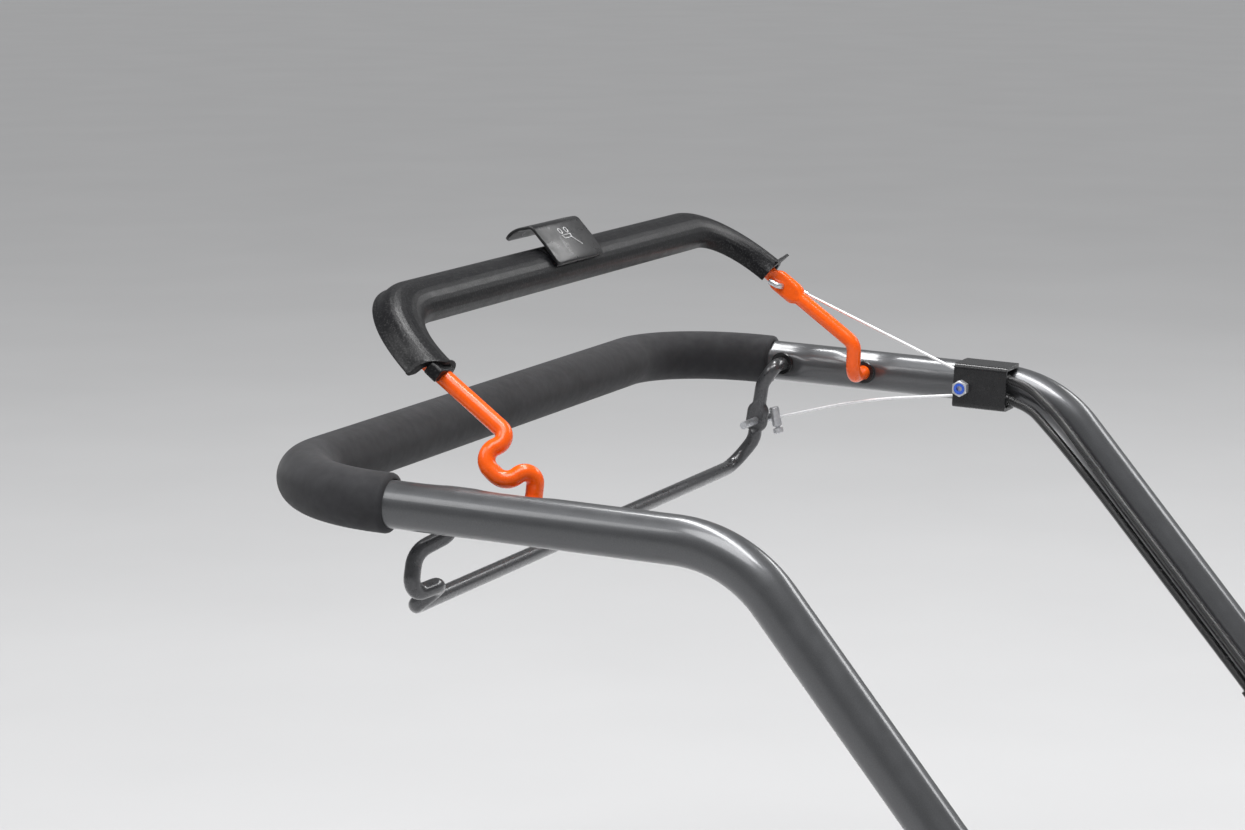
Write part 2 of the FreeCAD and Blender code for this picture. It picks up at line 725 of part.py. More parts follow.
def build_drive_cable_end():
    """The drive cable's end: a pin through the bail's eye, a clamp barrel with its screw, and the wire."""
    tip = DRIVE_EYE + Vector(22.0, 0, 0)
    bend = DRIVE_EYE - Vector(7.3, 0, 0)
    barrel_middle = DRIVE_EYE + Vector(-7.3, 8.6, 1.4)
    barrel_radius = DRIVING_SIZES["barrel_od"] / 2
    pin = add_rod("drive_pin", [tip, bend, barrel_middle], [3.0], size("drive_end_od") / 2)
    barrel_axis = Vector(0, -0.22, 1).normalize()
    foot = barrel_middle - barrel_axis * (DRIVING_SIZES["barrel_length"] / 2)
    outer = size("barrel_od") / 2
    length = size("barrel_length")
    trim = add_cylinder("drive_pin_trim", foot, barrel_axis, outer, length)
    keep(cut("drive_hook", pin, trim), "drive_cable_pin")
    corners = [
        (0.0, 0.0), (outer - 0.6, 0.0), (outer, 0.6),
        (outer, length - 0.6), (outer - 0.6, length), (0.0, length),
    ]
    keep(turned_body("barrel_body", corners, foot, barrel_axis), "drive_cable_barrel")
    head = [(0.0, 0.0), (1.4, 0.0), (1.4, 1.2), (2.9, 1.2), (2.9, 3.4), (2.3, 4.0), (0.0, 4.0)]
    keep(turned_body("barrel_screw_body", head, foot, barrel_axis * -1), "barrel_screw")
    start = barrel_middle + Vector(0, barrel_radius + 0.1, 0.3)
    knee = Vector(-229.0, 126.0, -20.2)
    pull = (DRIVE_WIRE_MOUTH - knee).normalize()
    points = [start, knee, DRIVE_WIRE_MOUTH + pull * 21.0]
    wire = add_rod("drive_wire", points, easy_radii(points), size("wire_od") / 2)
    keep(wire, "drive_cable_wire")


def tube_corners(inner, outer, length, chamfer=0.5):
    return [
        (inner, 0.0), (outer - chamfer, 0.0), (outer, chamfer), (outer, length - chamfer),
        (outer - chamfer, length), (inner, length),
    ]


def build_conduit(cable):
    """One cable's outer conduit, from the bracket's stop down the left leg, and the fittings at its ends."""
    points = conduit_points(cable)
    wire_radius = size("wire_od") / 2
    conduit = add_rod(f"{cable}_conduit_run", points, easy_radii(points), size("conduit_od") / 2)
    bore = add_rod(f"{cable}_conduit_bore", points, easy_radii(points), size("wire_od") / 2 + 0.3)
    keep(cut(f"{cable}_conduit_tube", conduit, bore), f"{cable}_cable_conduit")
    ahead = (points[1] - points[0]).normalize()
    cap_shape = tube_corners(wire_radius + 0.3, size("cap_od") / 2, size("cap_length"))
    cap = turned_body(f"{cable}_cap_body", cap_shape, points[0], ahead * -1)
    keep(cap, f"{cable}_cable_cap")
    down = (points[-1] - points[-2]).normalize()
    outer = size("cap_od") / 2
    length = ADJUSTER_LENGTH
    corners = [
        (wire_radius, 0.0), (outer, 0.0), (outer, 9.0), (outer - 0.5, 9.0), (outer - 0.5, length),
        (wire_radius, length),
    ]
    keep(turned_body(f"{cable}_adjuster_body", corners, points[-1], down), f"{cable}_cable_adjuster")
    wire_end = LOWER_WIRE_LENGTH
    nipple = size("barrel_od") / 2 - 0.6
    corners = [
        (0.0, 0.0), (wire_radius, 0.0), (wire_radius, wire_end), (nipple, wire_end), (nipple, wire_end + 6.0),
        (0.0, wire_end + 6.0),
    ]
    start = points[-1] + down * (length - 8.0)
    keep(turned_body(f"{cable}_lower_body", corners, start, down), f"{cable}_cable_lower_end")


def build_cable_clips():
    """Two moulded clips round the left leg that hold both conduits against it."""
    shapes = []
    for index, run in enumerate((196.0, 236.0)):
        axis = leg_direction(LEFT)
        hubs = [(0.0, 0.0, size("tube_od") / 2, 1.8), (14.1, 2.1, size("conduit_od") / 2, 1.4),
                (10.1, 10.1, size("conduit_od") / 2, 1.4)]
        rings = []
        bores = []
        for count, (inward, under, radius, wall) in enumerate(hubs):
            foot = leg_point(LEFT, run, inward, under)
            rings.append(add_cylinder(f"clip_ring_{index}_{count}", foot, axis, radius + wall, 8.0))
            bores.append(add_cylinder(f"clip_bore_{index}_{count}", foot - axis, axis, radius, 10.0))
        body = fuse(f"clip_rings_{index}", rings)
        shapes.append(cut(f"clip_{index}", body, fuse(f"clip_bores_{index}", bores)))
    group = doc.addObject("Part::Compound", "clips")
    group.Links = shapes
    keep(group, "cable_clips")


# ---------------------------------------------------------------- cable bracket


def build_bracket():
    """A folded steel channel over the left side of the tube: top, inner wall, floor and a cable stop."""
    half = DRIVING_SIZES["bracket_length"] / 2
    run = DRIVING_SIZES["bracket_run"]
    thick = DRIVING_SIZES["bracket_thick"]
    inner = HALF_WIDTH - 222.0
    top = TUBE_RADIUS + thick
    low = -9.3
    turn = Rotation(Vector(1, 0, 0), math.degrees(-FALL))
    length = size("bracket_length")

    def corner(inward, start, up):
        return side_point(LEFT, start, inward=inward, up=up)

    sheet_thick = size("bracket_thick")
    start = run - half
    height = top - low
    roof = add_box("bracket_roof", corner(2.0, start, TUBE_RADIUS), inner - 2.0, length, sheet_thick, turn)
    foot = corner(inner - thick, start, low - thick)
    wall = add_box("bracket_wall", foot, sheet_thick, length, height + thick, turn)
    floor = add_box("bracket_floor", corner(8.0, start, low - thick), inner - 8.0, length, sheet_thick, turn)
    foot = corner(TUBE_RADIUS + 2.0, STOP_RUN - 1, low)
    stop = add_box("bracket_stop", foot, inner - TUBE_RADIUS - 2.5, 2.0, height - 1.0, turn)
    blank = fuse("bracket_blank", [roof, wall, floor, stop])
    bolt_start = corner(inner + 5, DRIVING_SIZES["bracket_bolt_run"], 0)
    bolt_clear = size("bolt_od") / 2 + 0.25
    cuts = [add_cylinder("bracket_bolt_clear", bolt_start, Vector(-1, 0, 0), bolt_clear, 12.0)]
    for cable in ("brake", "drive"):
        points = conduit_points(cable)
        ahead = (points[1] - points[0]).normalize()
        hole_start = points[0] - ahead * 12
        cuts.append(add_cylinder(f"{cable}_stop_hole", hole_start, ahead, size("wire_od") / 2 + 0.7, 20.0))
    drilled = cut("bracket_drilled", blank, fuse("bracket_cuts", cuts))
    doc.recompute()
    rounded = doc.addObject("Part::Fillet", "bracket_rounded")
    rounded.Base = drilled
    folds = []
    for index, edge in enumerate(drilled.Shape.Edges, start=1):
        if not isinstance(edge.Curve, Part.Line):
            continue
        middle = edge.CenterOfMass
        along_tube = abs(edge.tangentAt(edge.FirstParameter).dot(SIDE)) > 0.999
        outer_corner = abs(middle.x + 222.0) < 0.01
        if along_tube and outer_corner:
            folds.append((index, DRIVING_SIZES["bracket_fold"], DRIVING_SIZES["bracket_fold"]))
    rounded.Edges = folds
    keep(rounded, "cable_bracket")


def build_bracket_fastener():
    """The bolt through tube and bracket, with a washer outside and a locking nut inside."""
    run = DRIVING_SIZES["bracket_bolt_run"]
    inner = HALF_WIDTH - 222.0
    washer_out = DRIVING_SIZES["washer_thick"]
    tube_face = side_point(LEFT, run, inward=-TUBE_RADIUS)
    washer_shape = ring_corners(size("bolt_od") / 2 + 0.2, size("washer_od") / 2, size("washer_thick"))
    keep(turned_body("washer_body", washer_shape, tube_face, Vector(-1, 0, 0)), "bracket_washer")
    head_face = tube_face - Vector(washer_out, 0, 0)
    ring_start = DRIVING_SIZES["nut_thick"] - 1.4
    shank_length = TUBE_RADIUS + washer_out + inner + ring_start - 0.1
    bolt = doc.addObject("PartDesign::Body", "bolt_body")
    head = bolt.newObject("PartDesign::Pad", "bolt_head")
    head.Profile = outline_sketch(bolt, "XY_Plane", hexagon_corners(size("bolt_head_af")))
    bind(head, Length=size("bolt_head_thick"))
    doc.recompute()
    shank_sketch = bolt.newObject("Sketcher::SketchObject", "bolt_shank_ring")
    shank_sketch.AttachmentSupport = [(base_plane(bolt, "XY_Plane"), "")]
    shank_sketch.MapMode = "FlatFace"
    shank_sketch.addGeometry(Part.Circle(Vector(0, 0, 0), Vector(0, 0, 1), DRIVING_SIZES["bolt_od"] / 2))
    shank_sketch.addConstraint(Sketcher.Constraint("Coincident", 0, 3, -1, 1))
    row = shank_sketch.addConstraint(Sketcher.Constraint("Diameter", 0, DRIVING_SIZES["bolt_od"]))
    shank_sketch.setExpression(f"Constraints[{row}]", "Sizes.bolt_od")
    shank = bolt.newObject("PartDesign::Pad", "bolt_shank")
    shank.Profile = shank_sketch
    shank.Reversed = True
    bind(shank, Length=shank_length)
    bolt.Tip = shank
    bolt.Placement = Placement(head_face, Rotation(Vector(0, 0, 1), Vector(-1, 0, 0)))
    keep(bolt, "bracket_bolt")
    nut_face = side_point(LEFT, run, inward=inner)
    nut = doc.addObject("PartDesign::Body", "nut_body")
    blank = nut.newObject("PartDesign::Pad", "nut_blank")
    blank.Profile = outline_sketch(nut, "XY_Plane", hexagon_corners(size("bolt_head_af")))
    bind(blank, Length=size("nut_thick"))
    nut.Placement = Placement(nut_face, Rotation(Vector(0, 0, 1), Vector(1, 0, 0)))
    start = nut_face - Vector(1, 0, 0)
    bore = add_cylinder("nut_bore", start, Vector(1, 0, 0), size("bolt_od") / 2, 12.0)
    bored = cut("nut_bored", nut, bore)
    recess_start = nut_face + Vector(ring_start, 0, 0)
    recess = add_cylinder("nut_recess", recess_start, Vector(1, 0, 0), size("nut_ring_od") / 2, 3.0)
    keep(cut("nut", bored, recess), "bracket_nut")
    ring_shape = ring_corners(size("nut_ring_id") / 2, size("nut_ring_od") / 2, size("nut_ring_thick"))
    keep(turned_body("nut_ring_body", ring_shape, recess_start, Vector(1, 0, 0)), "nut_locking_ring")


# ---------------------------------------------------------------- assembly


def set_down():
    """Moves every node so that the origin is the bottom centre of the whole assembly's box."""
    box = FreeCAD.BoundBox()
    for node in nodes:
        box.add(node.Shape.BoundBox)
    shift = Vector(-(box.XMin + box.XMax) / 2, -(box.YMin + box.YMax) / 2, -box.ZMin)
    for node in nodes:
        node.Placement = Placement(shift, Rotation()).multiply(node.Placement)
    doc.recompute()
    return shift


def check_document():
    faults = [f"{item.Name}: {item.State}" for item in doc.Objects if {"Invalid", "Error"} & set(item.State)]
    for node in nodes:
        if node.Shape.isNull() or not node.Shape.isValid() or not node.Shape.Solids:
            faults.append(f"{node.Label}: bad shape")
    if faults:
        sys.exit("\n".join(faults))


def export_nodes():
    os.makedirs("parts", exist_ok=True)
    for node in nodes:
        node.Shape.exportStep(f"parts/{node.Label}.step")


def report(shift):
    print("shift", [round(value, 4) for value in shift])
    places = {
        "brake pivot": BRAKE_PIVOT,
        "drive pivot": DRIVE_PIVOT,
        "brake eye": BRAKE_EYE,
        "drive eye": DRIVE_EYE,
    }
    for name, point in places.items():
        print(name, [round(value, 4) for value in point + shift])
    for hand in (RIGHT, LEFT):
        for point in leg_hole_points(hand):
            print("leg hole", hand, [round(value, 4) for value in point + shift])
    for cable in ("brake", "drive"):
        points = conduit_points(cable)
        down = (points[-1] - points[-2]).normalize()
        print(cable, "cable end", [round(value, 4) for value in points[-1] + down * 46.0 + shift], list(down))
        print(cable, "conduit radii", [round(value, 1) for value in easy_radii(conduit_points(cable))])
    for node in nodes:
        box = node.Shape.BoundBox
        low = [round(value, 1) for value in (box.XMin, box.YMin, box.ZMin)]
        high = [round(value, 1) for value in (box.XMax, box.YMax, box.ZMax)]
        shape = node.Shape
        print(f"{node.Label:24s} solids {len(shape.Solids)} volume {shape.Volume:10.1f} {low} {high}")


def main():
    fill_sheet()
    build_handlebar()
    build_foam_grip()
    build_leg_plugs()
    build_bushings()
    build_brake_bail()
    build_cover()
    keep(tab_plate("tab"), "label_tab")
    build_drive_bail()
    build_brake_cable_end()
    build_drive_cable_end()
    for cable in ("brake", "drive"):
        build_conduit(cable)
    build_cable_clips()
    build_bracket()
    build_bracket_fastener()
    doc.recompute()
    check_document()
    shift = set_down()
    check_document()
    export_nodes()
    report(shift)


main()
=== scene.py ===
"""Looks of a walk-behind mower's upper handle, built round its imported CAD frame.

Shapes are worked out in millimetres round the middle of the grip's crossbar, as the CAD part is,
and moved into the row frame, in metres, by the engine-brake bail's pivot.
"""

import json
import math

import bpy
from mathutils import Matrix, Vector


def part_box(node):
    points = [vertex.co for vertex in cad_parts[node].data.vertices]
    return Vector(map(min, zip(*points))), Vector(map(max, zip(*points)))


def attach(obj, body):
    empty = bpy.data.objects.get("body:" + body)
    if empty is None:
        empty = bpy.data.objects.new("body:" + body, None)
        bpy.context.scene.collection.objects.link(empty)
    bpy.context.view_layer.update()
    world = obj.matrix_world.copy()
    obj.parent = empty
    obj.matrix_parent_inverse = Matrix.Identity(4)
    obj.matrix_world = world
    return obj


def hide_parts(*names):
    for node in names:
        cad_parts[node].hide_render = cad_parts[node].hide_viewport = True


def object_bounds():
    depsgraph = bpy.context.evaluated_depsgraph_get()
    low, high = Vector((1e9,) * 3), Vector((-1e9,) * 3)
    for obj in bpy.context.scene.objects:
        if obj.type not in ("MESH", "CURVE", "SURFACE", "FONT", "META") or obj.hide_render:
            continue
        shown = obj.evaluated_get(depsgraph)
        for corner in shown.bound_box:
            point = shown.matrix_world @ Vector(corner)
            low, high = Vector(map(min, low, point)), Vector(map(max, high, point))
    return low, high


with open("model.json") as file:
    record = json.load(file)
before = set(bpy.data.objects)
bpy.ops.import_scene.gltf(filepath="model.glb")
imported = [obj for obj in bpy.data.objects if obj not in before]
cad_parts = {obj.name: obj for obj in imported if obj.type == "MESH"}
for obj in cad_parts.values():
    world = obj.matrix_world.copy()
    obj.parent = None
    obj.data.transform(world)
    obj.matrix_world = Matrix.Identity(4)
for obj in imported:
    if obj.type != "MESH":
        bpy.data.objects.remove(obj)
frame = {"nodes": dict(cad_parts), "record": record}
cad_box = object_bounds()

MM = 0.001
RIGHT = 1
LEFT = -1

# handle, millimetres
TUBE_RADIUS = 11.1
TUBE_WALL = 1.5
HALF_WIDTH = 248.15
CORNER_RADIUS = 60.7
SIDE_FALL = math.radians(2.8)
SIDE_RUN = 229.6
BEND_RADIUS = 62.3
LEG_FALL = math.radians(51.0)
LEG_SPLAY = math.radians(1.8)
LEG_RUN = 418.0
LEG_HOLE_RUNS = (398.0, 348.0)
LEG_HOLE_RADIUS = 4.25
GRIP_RADIUS = 13.65
GRIP_END = 66.5
GRIP_EDGE = 2.0
DENT_DEPTH = 2.0
DENT_REACH = 10.0
DENT_SOFTNESS = 0.6
DENT_WINDOW = 30.0
SHOULDER_START = -2.0
SHOULDER_WIDTH = 8.0
SHOULDER_REACH = 14.0
SHOULDER_SAG = 0.2

# bails
BRAKE_PIVOT_RUN = 123.8
DRIVE_PIVOT_RUN = 75.1
PIN_HOLE_RADIUS = 5.0
BRAKE_ROD_RADIUS = 4.0
DRIVE_ROD_RADIUS = 3.85
BRAKE_ANGLE = math.radians(38.1)
BRAKE_LOOP = 104.4
BRAKE_CORNER = 36.0
DRIVE_CORNER = 14.0
COVER_START = 61.0
COVER_CORNER = 46.0
COVER_SLANT = 0.8
TAB_WIDTH = 58.0
TAB_THICK = 1.56
TAB_EDGE = 0.5
TAB_CORNER = 4.0

# how the rods flatten towards their eyes
EYE_RAMP = 4.0
EYE_CREASE = 0.12

# pictogram: how far down the tab it is, how far it is enlarged, and its line's radius
MARK_PLACE = 0.38
MARK_SCALE = 1.5
MARK_RADIUS = 0.26

# cables
WIRE_RADIUS = 0.8
WIRE_LAY = 9.0
WIRE_LOBES = 6
CONDUIT_RADIUS = 2.5
CONDUIT_RIB = 0.24
CONDUIT_PITCH = 0.95

SIDE = Vector((0, math.cos(SIDE_FALL), -math.sin(SIDE_FALL)))
OVER_SIDE = Vector((0, math.sin(SIDE_FALL), math.cos(SIDE_FALL)))
BRAKE_UP = Vector((0, -math.cos(BRAKE_ANGLE), math.sin(BRAKE_ANGLE)))
BRAKE_FRONT = Vector((0, math.sin(BRAKE_ANGLE), math.cos(BRAKE_ANGLE)))
BRAKE_PIVOT = SIDE * BRAKE_PIVOT_RUN
DRIVE_PIVOT = SIDE * DRIVE_PIVOT_RUN
X = Vector((1, 0, 0))


def joint(name):
    return next(item for item in frame["record"]["behaviour"]["joints"] if item["name"] == name)


ORIGIN = Vector(joint("brake_bail_pivot")["pos_m"]) - BRAKE_PIVOT * MM


def row(point):
    """A point of the grip's own frame, in millimetres, as a point of the row frame, in metres."""
    return ORIGIN + point * MM


def grip_frame(point):
    return (Vector(point) - ORIGIN) / MM


def side_point(hand, run, inward=0.0):
    return Vector((hand * (HALF_WIDTH - inward), 0, 0)) + SIDE * run


def leg_direction(hand):
    flat = math.cos(LEG_SPLAY)
    return Vector((hand * math.sin(LEG_SPLAY), math.cos(LEG_FALL) * flat, -math.sin(LEG_FALL) * flat))


def leg_point(hand, run, inward=0.0, under=0.0):
    below = Vector((0, -math.sin(LEG_FALL), -math.cos(LEG_FALL)))
    return side_point(hand, SIDE_RUN) + leg_direction(hand) * run - X * (hand * inward) + below * under


def brake_leg(hand, run):
    reach = {RIGHT: 226.0, LEFT: 217.0}[hand] - 0.075 * run
    return Vector((hand * reach, 125.0, 12.8)) + BRAKE_UP * run


BRAKE_EYE = grip_frame(joint("brake_cable_swivel")["pos_m"])
DRIVE_EYE = grip_frame(joint("drive_cable_swivel")["pos_m"])

# ------------------------------------------------------------------ mesh helpers


def smooth_step(value):
    value = min(max(value, 0.0), 1.0)
    return value * value * (3 - 2 * value)


def rounded_route(points, radii, step):
    """Points along straight runs with a tangent arc at each corner, about `step` apart."""
    places = [points[0]]

    def run_to(end):
        start = places[-1]
        count = max(1, math.ceil((end - start).length / step))
        places.extend(start.lerp(end, index / count) for index in range(1, count + 1))

    for before, corner, after, radius in zip(points, points[1:], points[2:], radii):
        back = (before - corner).normalized()
        ahead = (after - corner).normalized()
        half_turn = (math.pi - back.angle(ahead)) / 2
        reach = radius * math.tan(half_turn)
        centre = corner + (back + ahead).normalized() * (radius / math.cos(half_turn))
        run_to(corner + back * reach)
        spoke = corner + back * reach - centre
        axis = back.cross(ahead).normalized()
        count = max(6, math.ceil(radius * 2 * half_turn / step))
        for index in range(1, count + 1):
            turn = Matrix.Rotation(-2 * half_turn * index / count, 3, axis)
            places.append(centre + turn @ spoke)
    run_to(points[-1])
    return places


def stations(places, first_across=None):
    """(place, tangent, across, up, distance) for each place, with the least twist along the route."""
    result = []
    distance = 0.0
    across = None
    for index, place in enumerate(places):
        before = places[max(index - 1, 0)]
        after = places[min(index + 1, len(places) - 1)]
        tangent = (after - before).normalized()
        if across is None:
            across = first_across or tangent.orthogonal()
        across = (across - tangent * across.dot(tangent)).normalized()
        distance += (place - before).length
        result.append((place, tangent, across, tangent.cross(across), distance))
    return result


def new_object(name, vertices, faces, smooth=True):
    mesh = bpy.data.meshes.new(name)
    mesh.from_pydata([row(vertex) for vertex in vertices], [], faces)
    mesh.validate()
    mesh.update()
    for face in mesh.polygons:
        face.use_smooth = smooth
    obj = bpy.data.objects.new(name, mesh)
    bpy.context.scene.collection.objects.link(obj)
    return obj


def skin(name, rings, joined=False):
    """A closed surface over rings of equal length: capped at both ends, or joined last to first."""
    size = len(rings[0])
    vertices = [point for ring in rings for point in ring]
    faces = []
    last = len(rings) if joined else len(rings) - 1
    for level in range(last):
        low = level * size
        high = ((level + 1) % len(rings)) * size
        for index in range(size):
            after = (index + 1) % size
            faces.append((low + index, low + after, high + after, high + index))
    if not joined:
        faces.append(tuple(reversed(range(size))))
        faces.append(tuple(range((len(rings) - 1) * size, len(rings) * size)))
    return new_object(name, vertices, faces)


def circle(place, across, up, radius, count):
    ring = []
    for index in range(count):
        angle = 2 * math.pi * index / count
        ring.append(place + across * (radius * math.cos(angle)) + up * (radius * math.sin(angle)))
    return ring


def rounded_outline(corners, radii, step=0.35):
    """A closed outline through 2-D corners, each with an arc of its own radius."""
    outline = []
    count = len(corners)
    for index, radius in enumerate(radii):
        before, corner, after = (Vector(corners[(index + shift) % count]) for shift in (-1, 0, 1))
        back = (before - corner).normalized()
        ahead = (after - corner).normalized()
        half_turn = (math.pi - back.angle(ahead)) / 2
        room = min((before - corner).length, (after - corner).length) * 0.49
        radius = min(radius, room / math.tan(half_turn))
        centre = corner + (back + ahead).normalized() * (radius / math.cos(half_turn))
        start = corner + back * radius * math.tan(half_turn) - centre
        turn = 2 * half_turn * (1 if back.x * ahead.y - back.y * ahead.x < 0 else -1)
        pieces = max(2, math.ceil(radius * abs(turn) / step))
        for piece in range(pieces + 1):
            angle = turn * piece / pieces
            cos, sin = math.cos(angle), math.sin(angle)
            outline.append(centre + Vector((start.x * cos - start.y * sin, start.x * sin + start.y * cos)))
    return outline


def turned(name, profile, place, axis, count=72):
    """A turned piece from (radius, height) corners along an axis."""
    across = axis.orthogonal().normalized()
    up = axis.cross(across)
    rings = []
    for radius, height in profile:
        rings.append(circle(place + axis * height, across, up, radius, count))
    return skin(name, rings)


def finish_mesh(obj):
    """Applies the modifiers, so the piece holds its final mesh."""
    evaluated = obj.evaluated_get(bpy.context.evaluated_depsgraph_get())
    mesh = bpy.data.meshes.new_from_object(evaluated)
    obj.modifiers.clear()
    obj.data = mesh


def carve(obj, cutters):
    """Cuts the shapes out of the piece and removes them."""
    for cutter in cutters:
        modifier = obj.modifiers.new("carve", "BOOLEAN")
        modifier.operation = "DIFFERENCE"
        modifier.solver = "EXACT"
        modifier.object = cutter
    finish_mesh(obj)
    for cutter in cutters:
        bpy.data.objects.remove(cutter)


def drill(name, start, axis, radius, length):
    return turned(name, [(radius, 0.0), (radius, length)], start, axis, 48)


def soften(obj, width, segments=3, angle=30.0):
    """Rounds the sharp edges and shades the rest smoothly."""
    bevel = obj.modifiers.new("soften", "BEVEL")
    bevel.width = width * MM
    bevel.segments = segments
    bevel.limit_method = "ANGLE"
    bevel.angle_limit = math.radians(angle)
    bevel.harden_normals = False
    for face in obj.data.polygons:
        face.use_smooth = True
    normals = obj.modifiers.new("weighted", "WEIGHTED_NORMAL")
    normals.keep_sharp = True


def sharpen(obj, angle=32.0):
    """Smooth shading that keeps the edges steeper than an angle."""
    obj.data.shade_smooth()
    obj.data.set_sharp_from_angle(angle=math.radians(angle))


def place_piece(obj, body, slot, material, *nodes):
    obj.data.materials.clear()
    obj.data.materials.append(material)
    if nodes:
        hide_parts(*nodes)
    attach(obj, body)
    return obj


# ------------------------------------------------------------------ materials


class Surface:
    """A Principled material with noise that varies its colour, its roughness and its relief."""

    def __init__(self, name, colour, roughness, **settings):
        self.material = bpy.data.materials.new(name)
        self.material.use_nodes = True
        self.nodes = self.material.node_tree.nodes
        self.links = self.material.node_tree.links
        self.shader = self.nodes["Principled BSDF"]
        self.shader.inputs["Base Color"].default_value = (*colour, 1.0)
        self.shader.inputs["Roughness"].default_value = roughness
        for socket, value in settings.items():
            self.shader.inputs[socket.replace("_", " ")].default_value = value
        self.place = self.nodes.new("ShaderNodeTexCoord").outputs["Object"]
        self.material.diffuse_color = (*colour, 1.0)

    def noise(self, size, detail=4.0, stretch=(1, 1, 1)):
        """Noise with features about `size` millimetres across."""
        mapping = self.nodes.new("ShaderNodeMapping")
        mapping.inputs["Scale"].default_value = stretch
        self.links.new(self.place, mapping.inputs["Vector"])
        noise = self.nodes.new("ShaderNodeTexNoise")
        noise.inputs["Scale"].default_value = 1.0 / (size * MM)
        noise.inputs["Detail"].default_value = detail
        self.links.new(mapping.outputs["Vector"], noise.inputs["Vector"])
        return noise.outputs["Fac"]

    def cells(self, size):
        voronoi = self.nodes.new("ShaderNodeTexVoronoi")
        voronoi.inputs["Scale"].default_value = 1.0 / (size * MM)
        self.links.new(self.place, voronoi.inputs["Vector"])
        return voronoi.outputs["Distance"]

    def ramp(self, fac, low, high, start=0.3, end=0.7):
        ramp = self.nodes.new("ShaderNodeValToRGB")
        ramp.color_ramp.elements[0].position = start
        ramp.color_ramp.elements[1].position = end
        ramp.color_ramp.elements[0].color = (*low, 1.0)
        ramp.color_ramp.elements[1].color = (*high, 1.0)
        self.links.new(fac, ramp.inputs["Fac"])
        return ramp.outputs["Color"]

    def colours(self, fac, low, high, start=0.3, end=0.7):
        self.links.new(self.ramp(fac, low, high, start, end), self.shader.inputs["Base Color"])
        return self

    def roughness(self, fac, low, high):
        self.links.new(self.ramp(fac, (low,) * 3, (high,) * 3), self.shader.inputs["Roughness"])
        return self

    def relief(self, fac, depth, strength=1.0):
        """Relief of about `depth` millimetres, laid over any relief the surface has already."""
        bump = self.nodes.new("ShaderNodeBump")
        bump.inputs["Strength"].default_value = strength
        bump.inputs["Distance"].default_value = depth * MM
        self.links.new(fac, bump.inputs["Height"])
        socket = self.shader.inputs["Normal"]
        if socket.is_linked:
            self.links.new(socket.links[0].from_socket, bump.inputs["Normal"])
        self.links.new(bump.outputs["Normal"], socket)
        return self


def tube_paint():
    """Dark grey powder coat, glossy, with a slight orange-peel ripple."""
    gloss = {"Metallic": 0.6, "Coat_Weight": 0.8, "Coat_Roughness": 0.12}
    paint = Surface("tube_paint", (0.09, 0.092, 0.097), 0.36, **gloss)
    paint.colours(paint.noise(0.35), (0.078, 0.08, 0.085), (0.105, 0.107, 0.112))
    paint.roughness(paint.noise(9.0), 0.32, 0.42)
    return paint.relief(paint.noise(1.6, 2.0), 0.01).material


def grip_foam():
    """Closed-cell foam: matt, finely pitted, mottled where hands have rubbed it."""
    foam = Surface("grip_foam", (0.02, 0.02, 0.022), 0.85, Sheen_Weight=0.08, Sheen_Roughness=0.5)
    foam.colours(foam.noise(14.0, 6.0), (0.013, 0.013, 0.015), (0.022, 0.022, 0.025))
    foam.roughness(foam.noise(5.0), 0.76, 0.92)
    foam.relief(foam.cells(0.45), 0.05, 0.7)
    return foam.relief(foam.noise(2.5, 5.0), 0.05, 0.6).material


def orange_paint():
    """Bright orange powder coat with a soft ripple."""
    paint = Surface("orange_paint", (0.93, 0.11, 0.002), 0.28, Specular_IOR_Level=0.35, Coat_Weight=0.3)
    paint.colours(paint.noise(2.2), (0.9, 0.1, 0.001), (0.96, 0.12, 0.003))
    paint.roughness(paint.noise(6.0), 0.22, 0.32)
    return paint.relief(paint.noise(1.4, 2.0), 0.02).material


def cover_plastic():
    """Black moulded plastic with a fine spark-eroded grain."""
    plastic = Surface("cover_plastic", (0.006, 0.006, 0.007), 0.38, Specular_IOR_Level=0.26)
    plastic.colours(plastic.noise(0.9, 2.0), (0.003, 0.003, 0.004), (0.03, 0.03, 0.031), 0.52, 0.68)
    plastic.roughness(plastic.noise(7.0), 0.34, 0.42)
    plastic.relief(plastic.cells(0.9), 0.05, 0.9)
    return plastic.relief(plastic.noise(0.8, 4.0), 0.03, 0.6).material


def satin_black(name, roughness=0.34, grain=0.3):
    """Smooth satin black, for moulded trim."""
    black = Surface(name, (0.01, 0.01, 0.011), roughness, Specular_IOR_Level=0.4)
    black.colours(black.noise(3.0), (0.007, 0.007, 0.008), (0.014, 0.014, 0.015))
    black.roughness(black.noise(5.0), roughness - 0.05, roughness + 0.07)
    return black.relief(black.noise(grain, 3.0), 0.012).material


def bracket_paint():
    """Glossy black paint on folded steel."""
    paint = Surface("bracket_paint", (0.008, 0.008, 0.009), 0.26, Specular_IOR_Level=0.4, Coat_Weight=0.3)
    paint.colours(paint.noise(4.0), (0.006, 0.006, 0.007), (0.011, 0.011, 0.012))
    paint.roughness(paint.noise(3.0), 0.22, 0.32)
    return paint.relief(paint.noise(2.0, 2.0), 0.004).material


def dark_paint():
    """The drive bail's dark grey paint."""
    gloss = {"Metallic": 0.5, "Coat_Weight": 0.6, "Coat_Roughness": 0.1}
    paint = Surface("dark_paint", (0.07, 0.071, 0.075), 0.28, **gloss)
    paint.colours(paint.noise(1.8), (0.06, 0.061, 0.065), (0.082, 0.083, 0.087))
    paint.roughness(paint.noise(5.0), 0.24, 0.34)
    return paint.relief(paint.noise(3.0, 1.0), 0.004).material


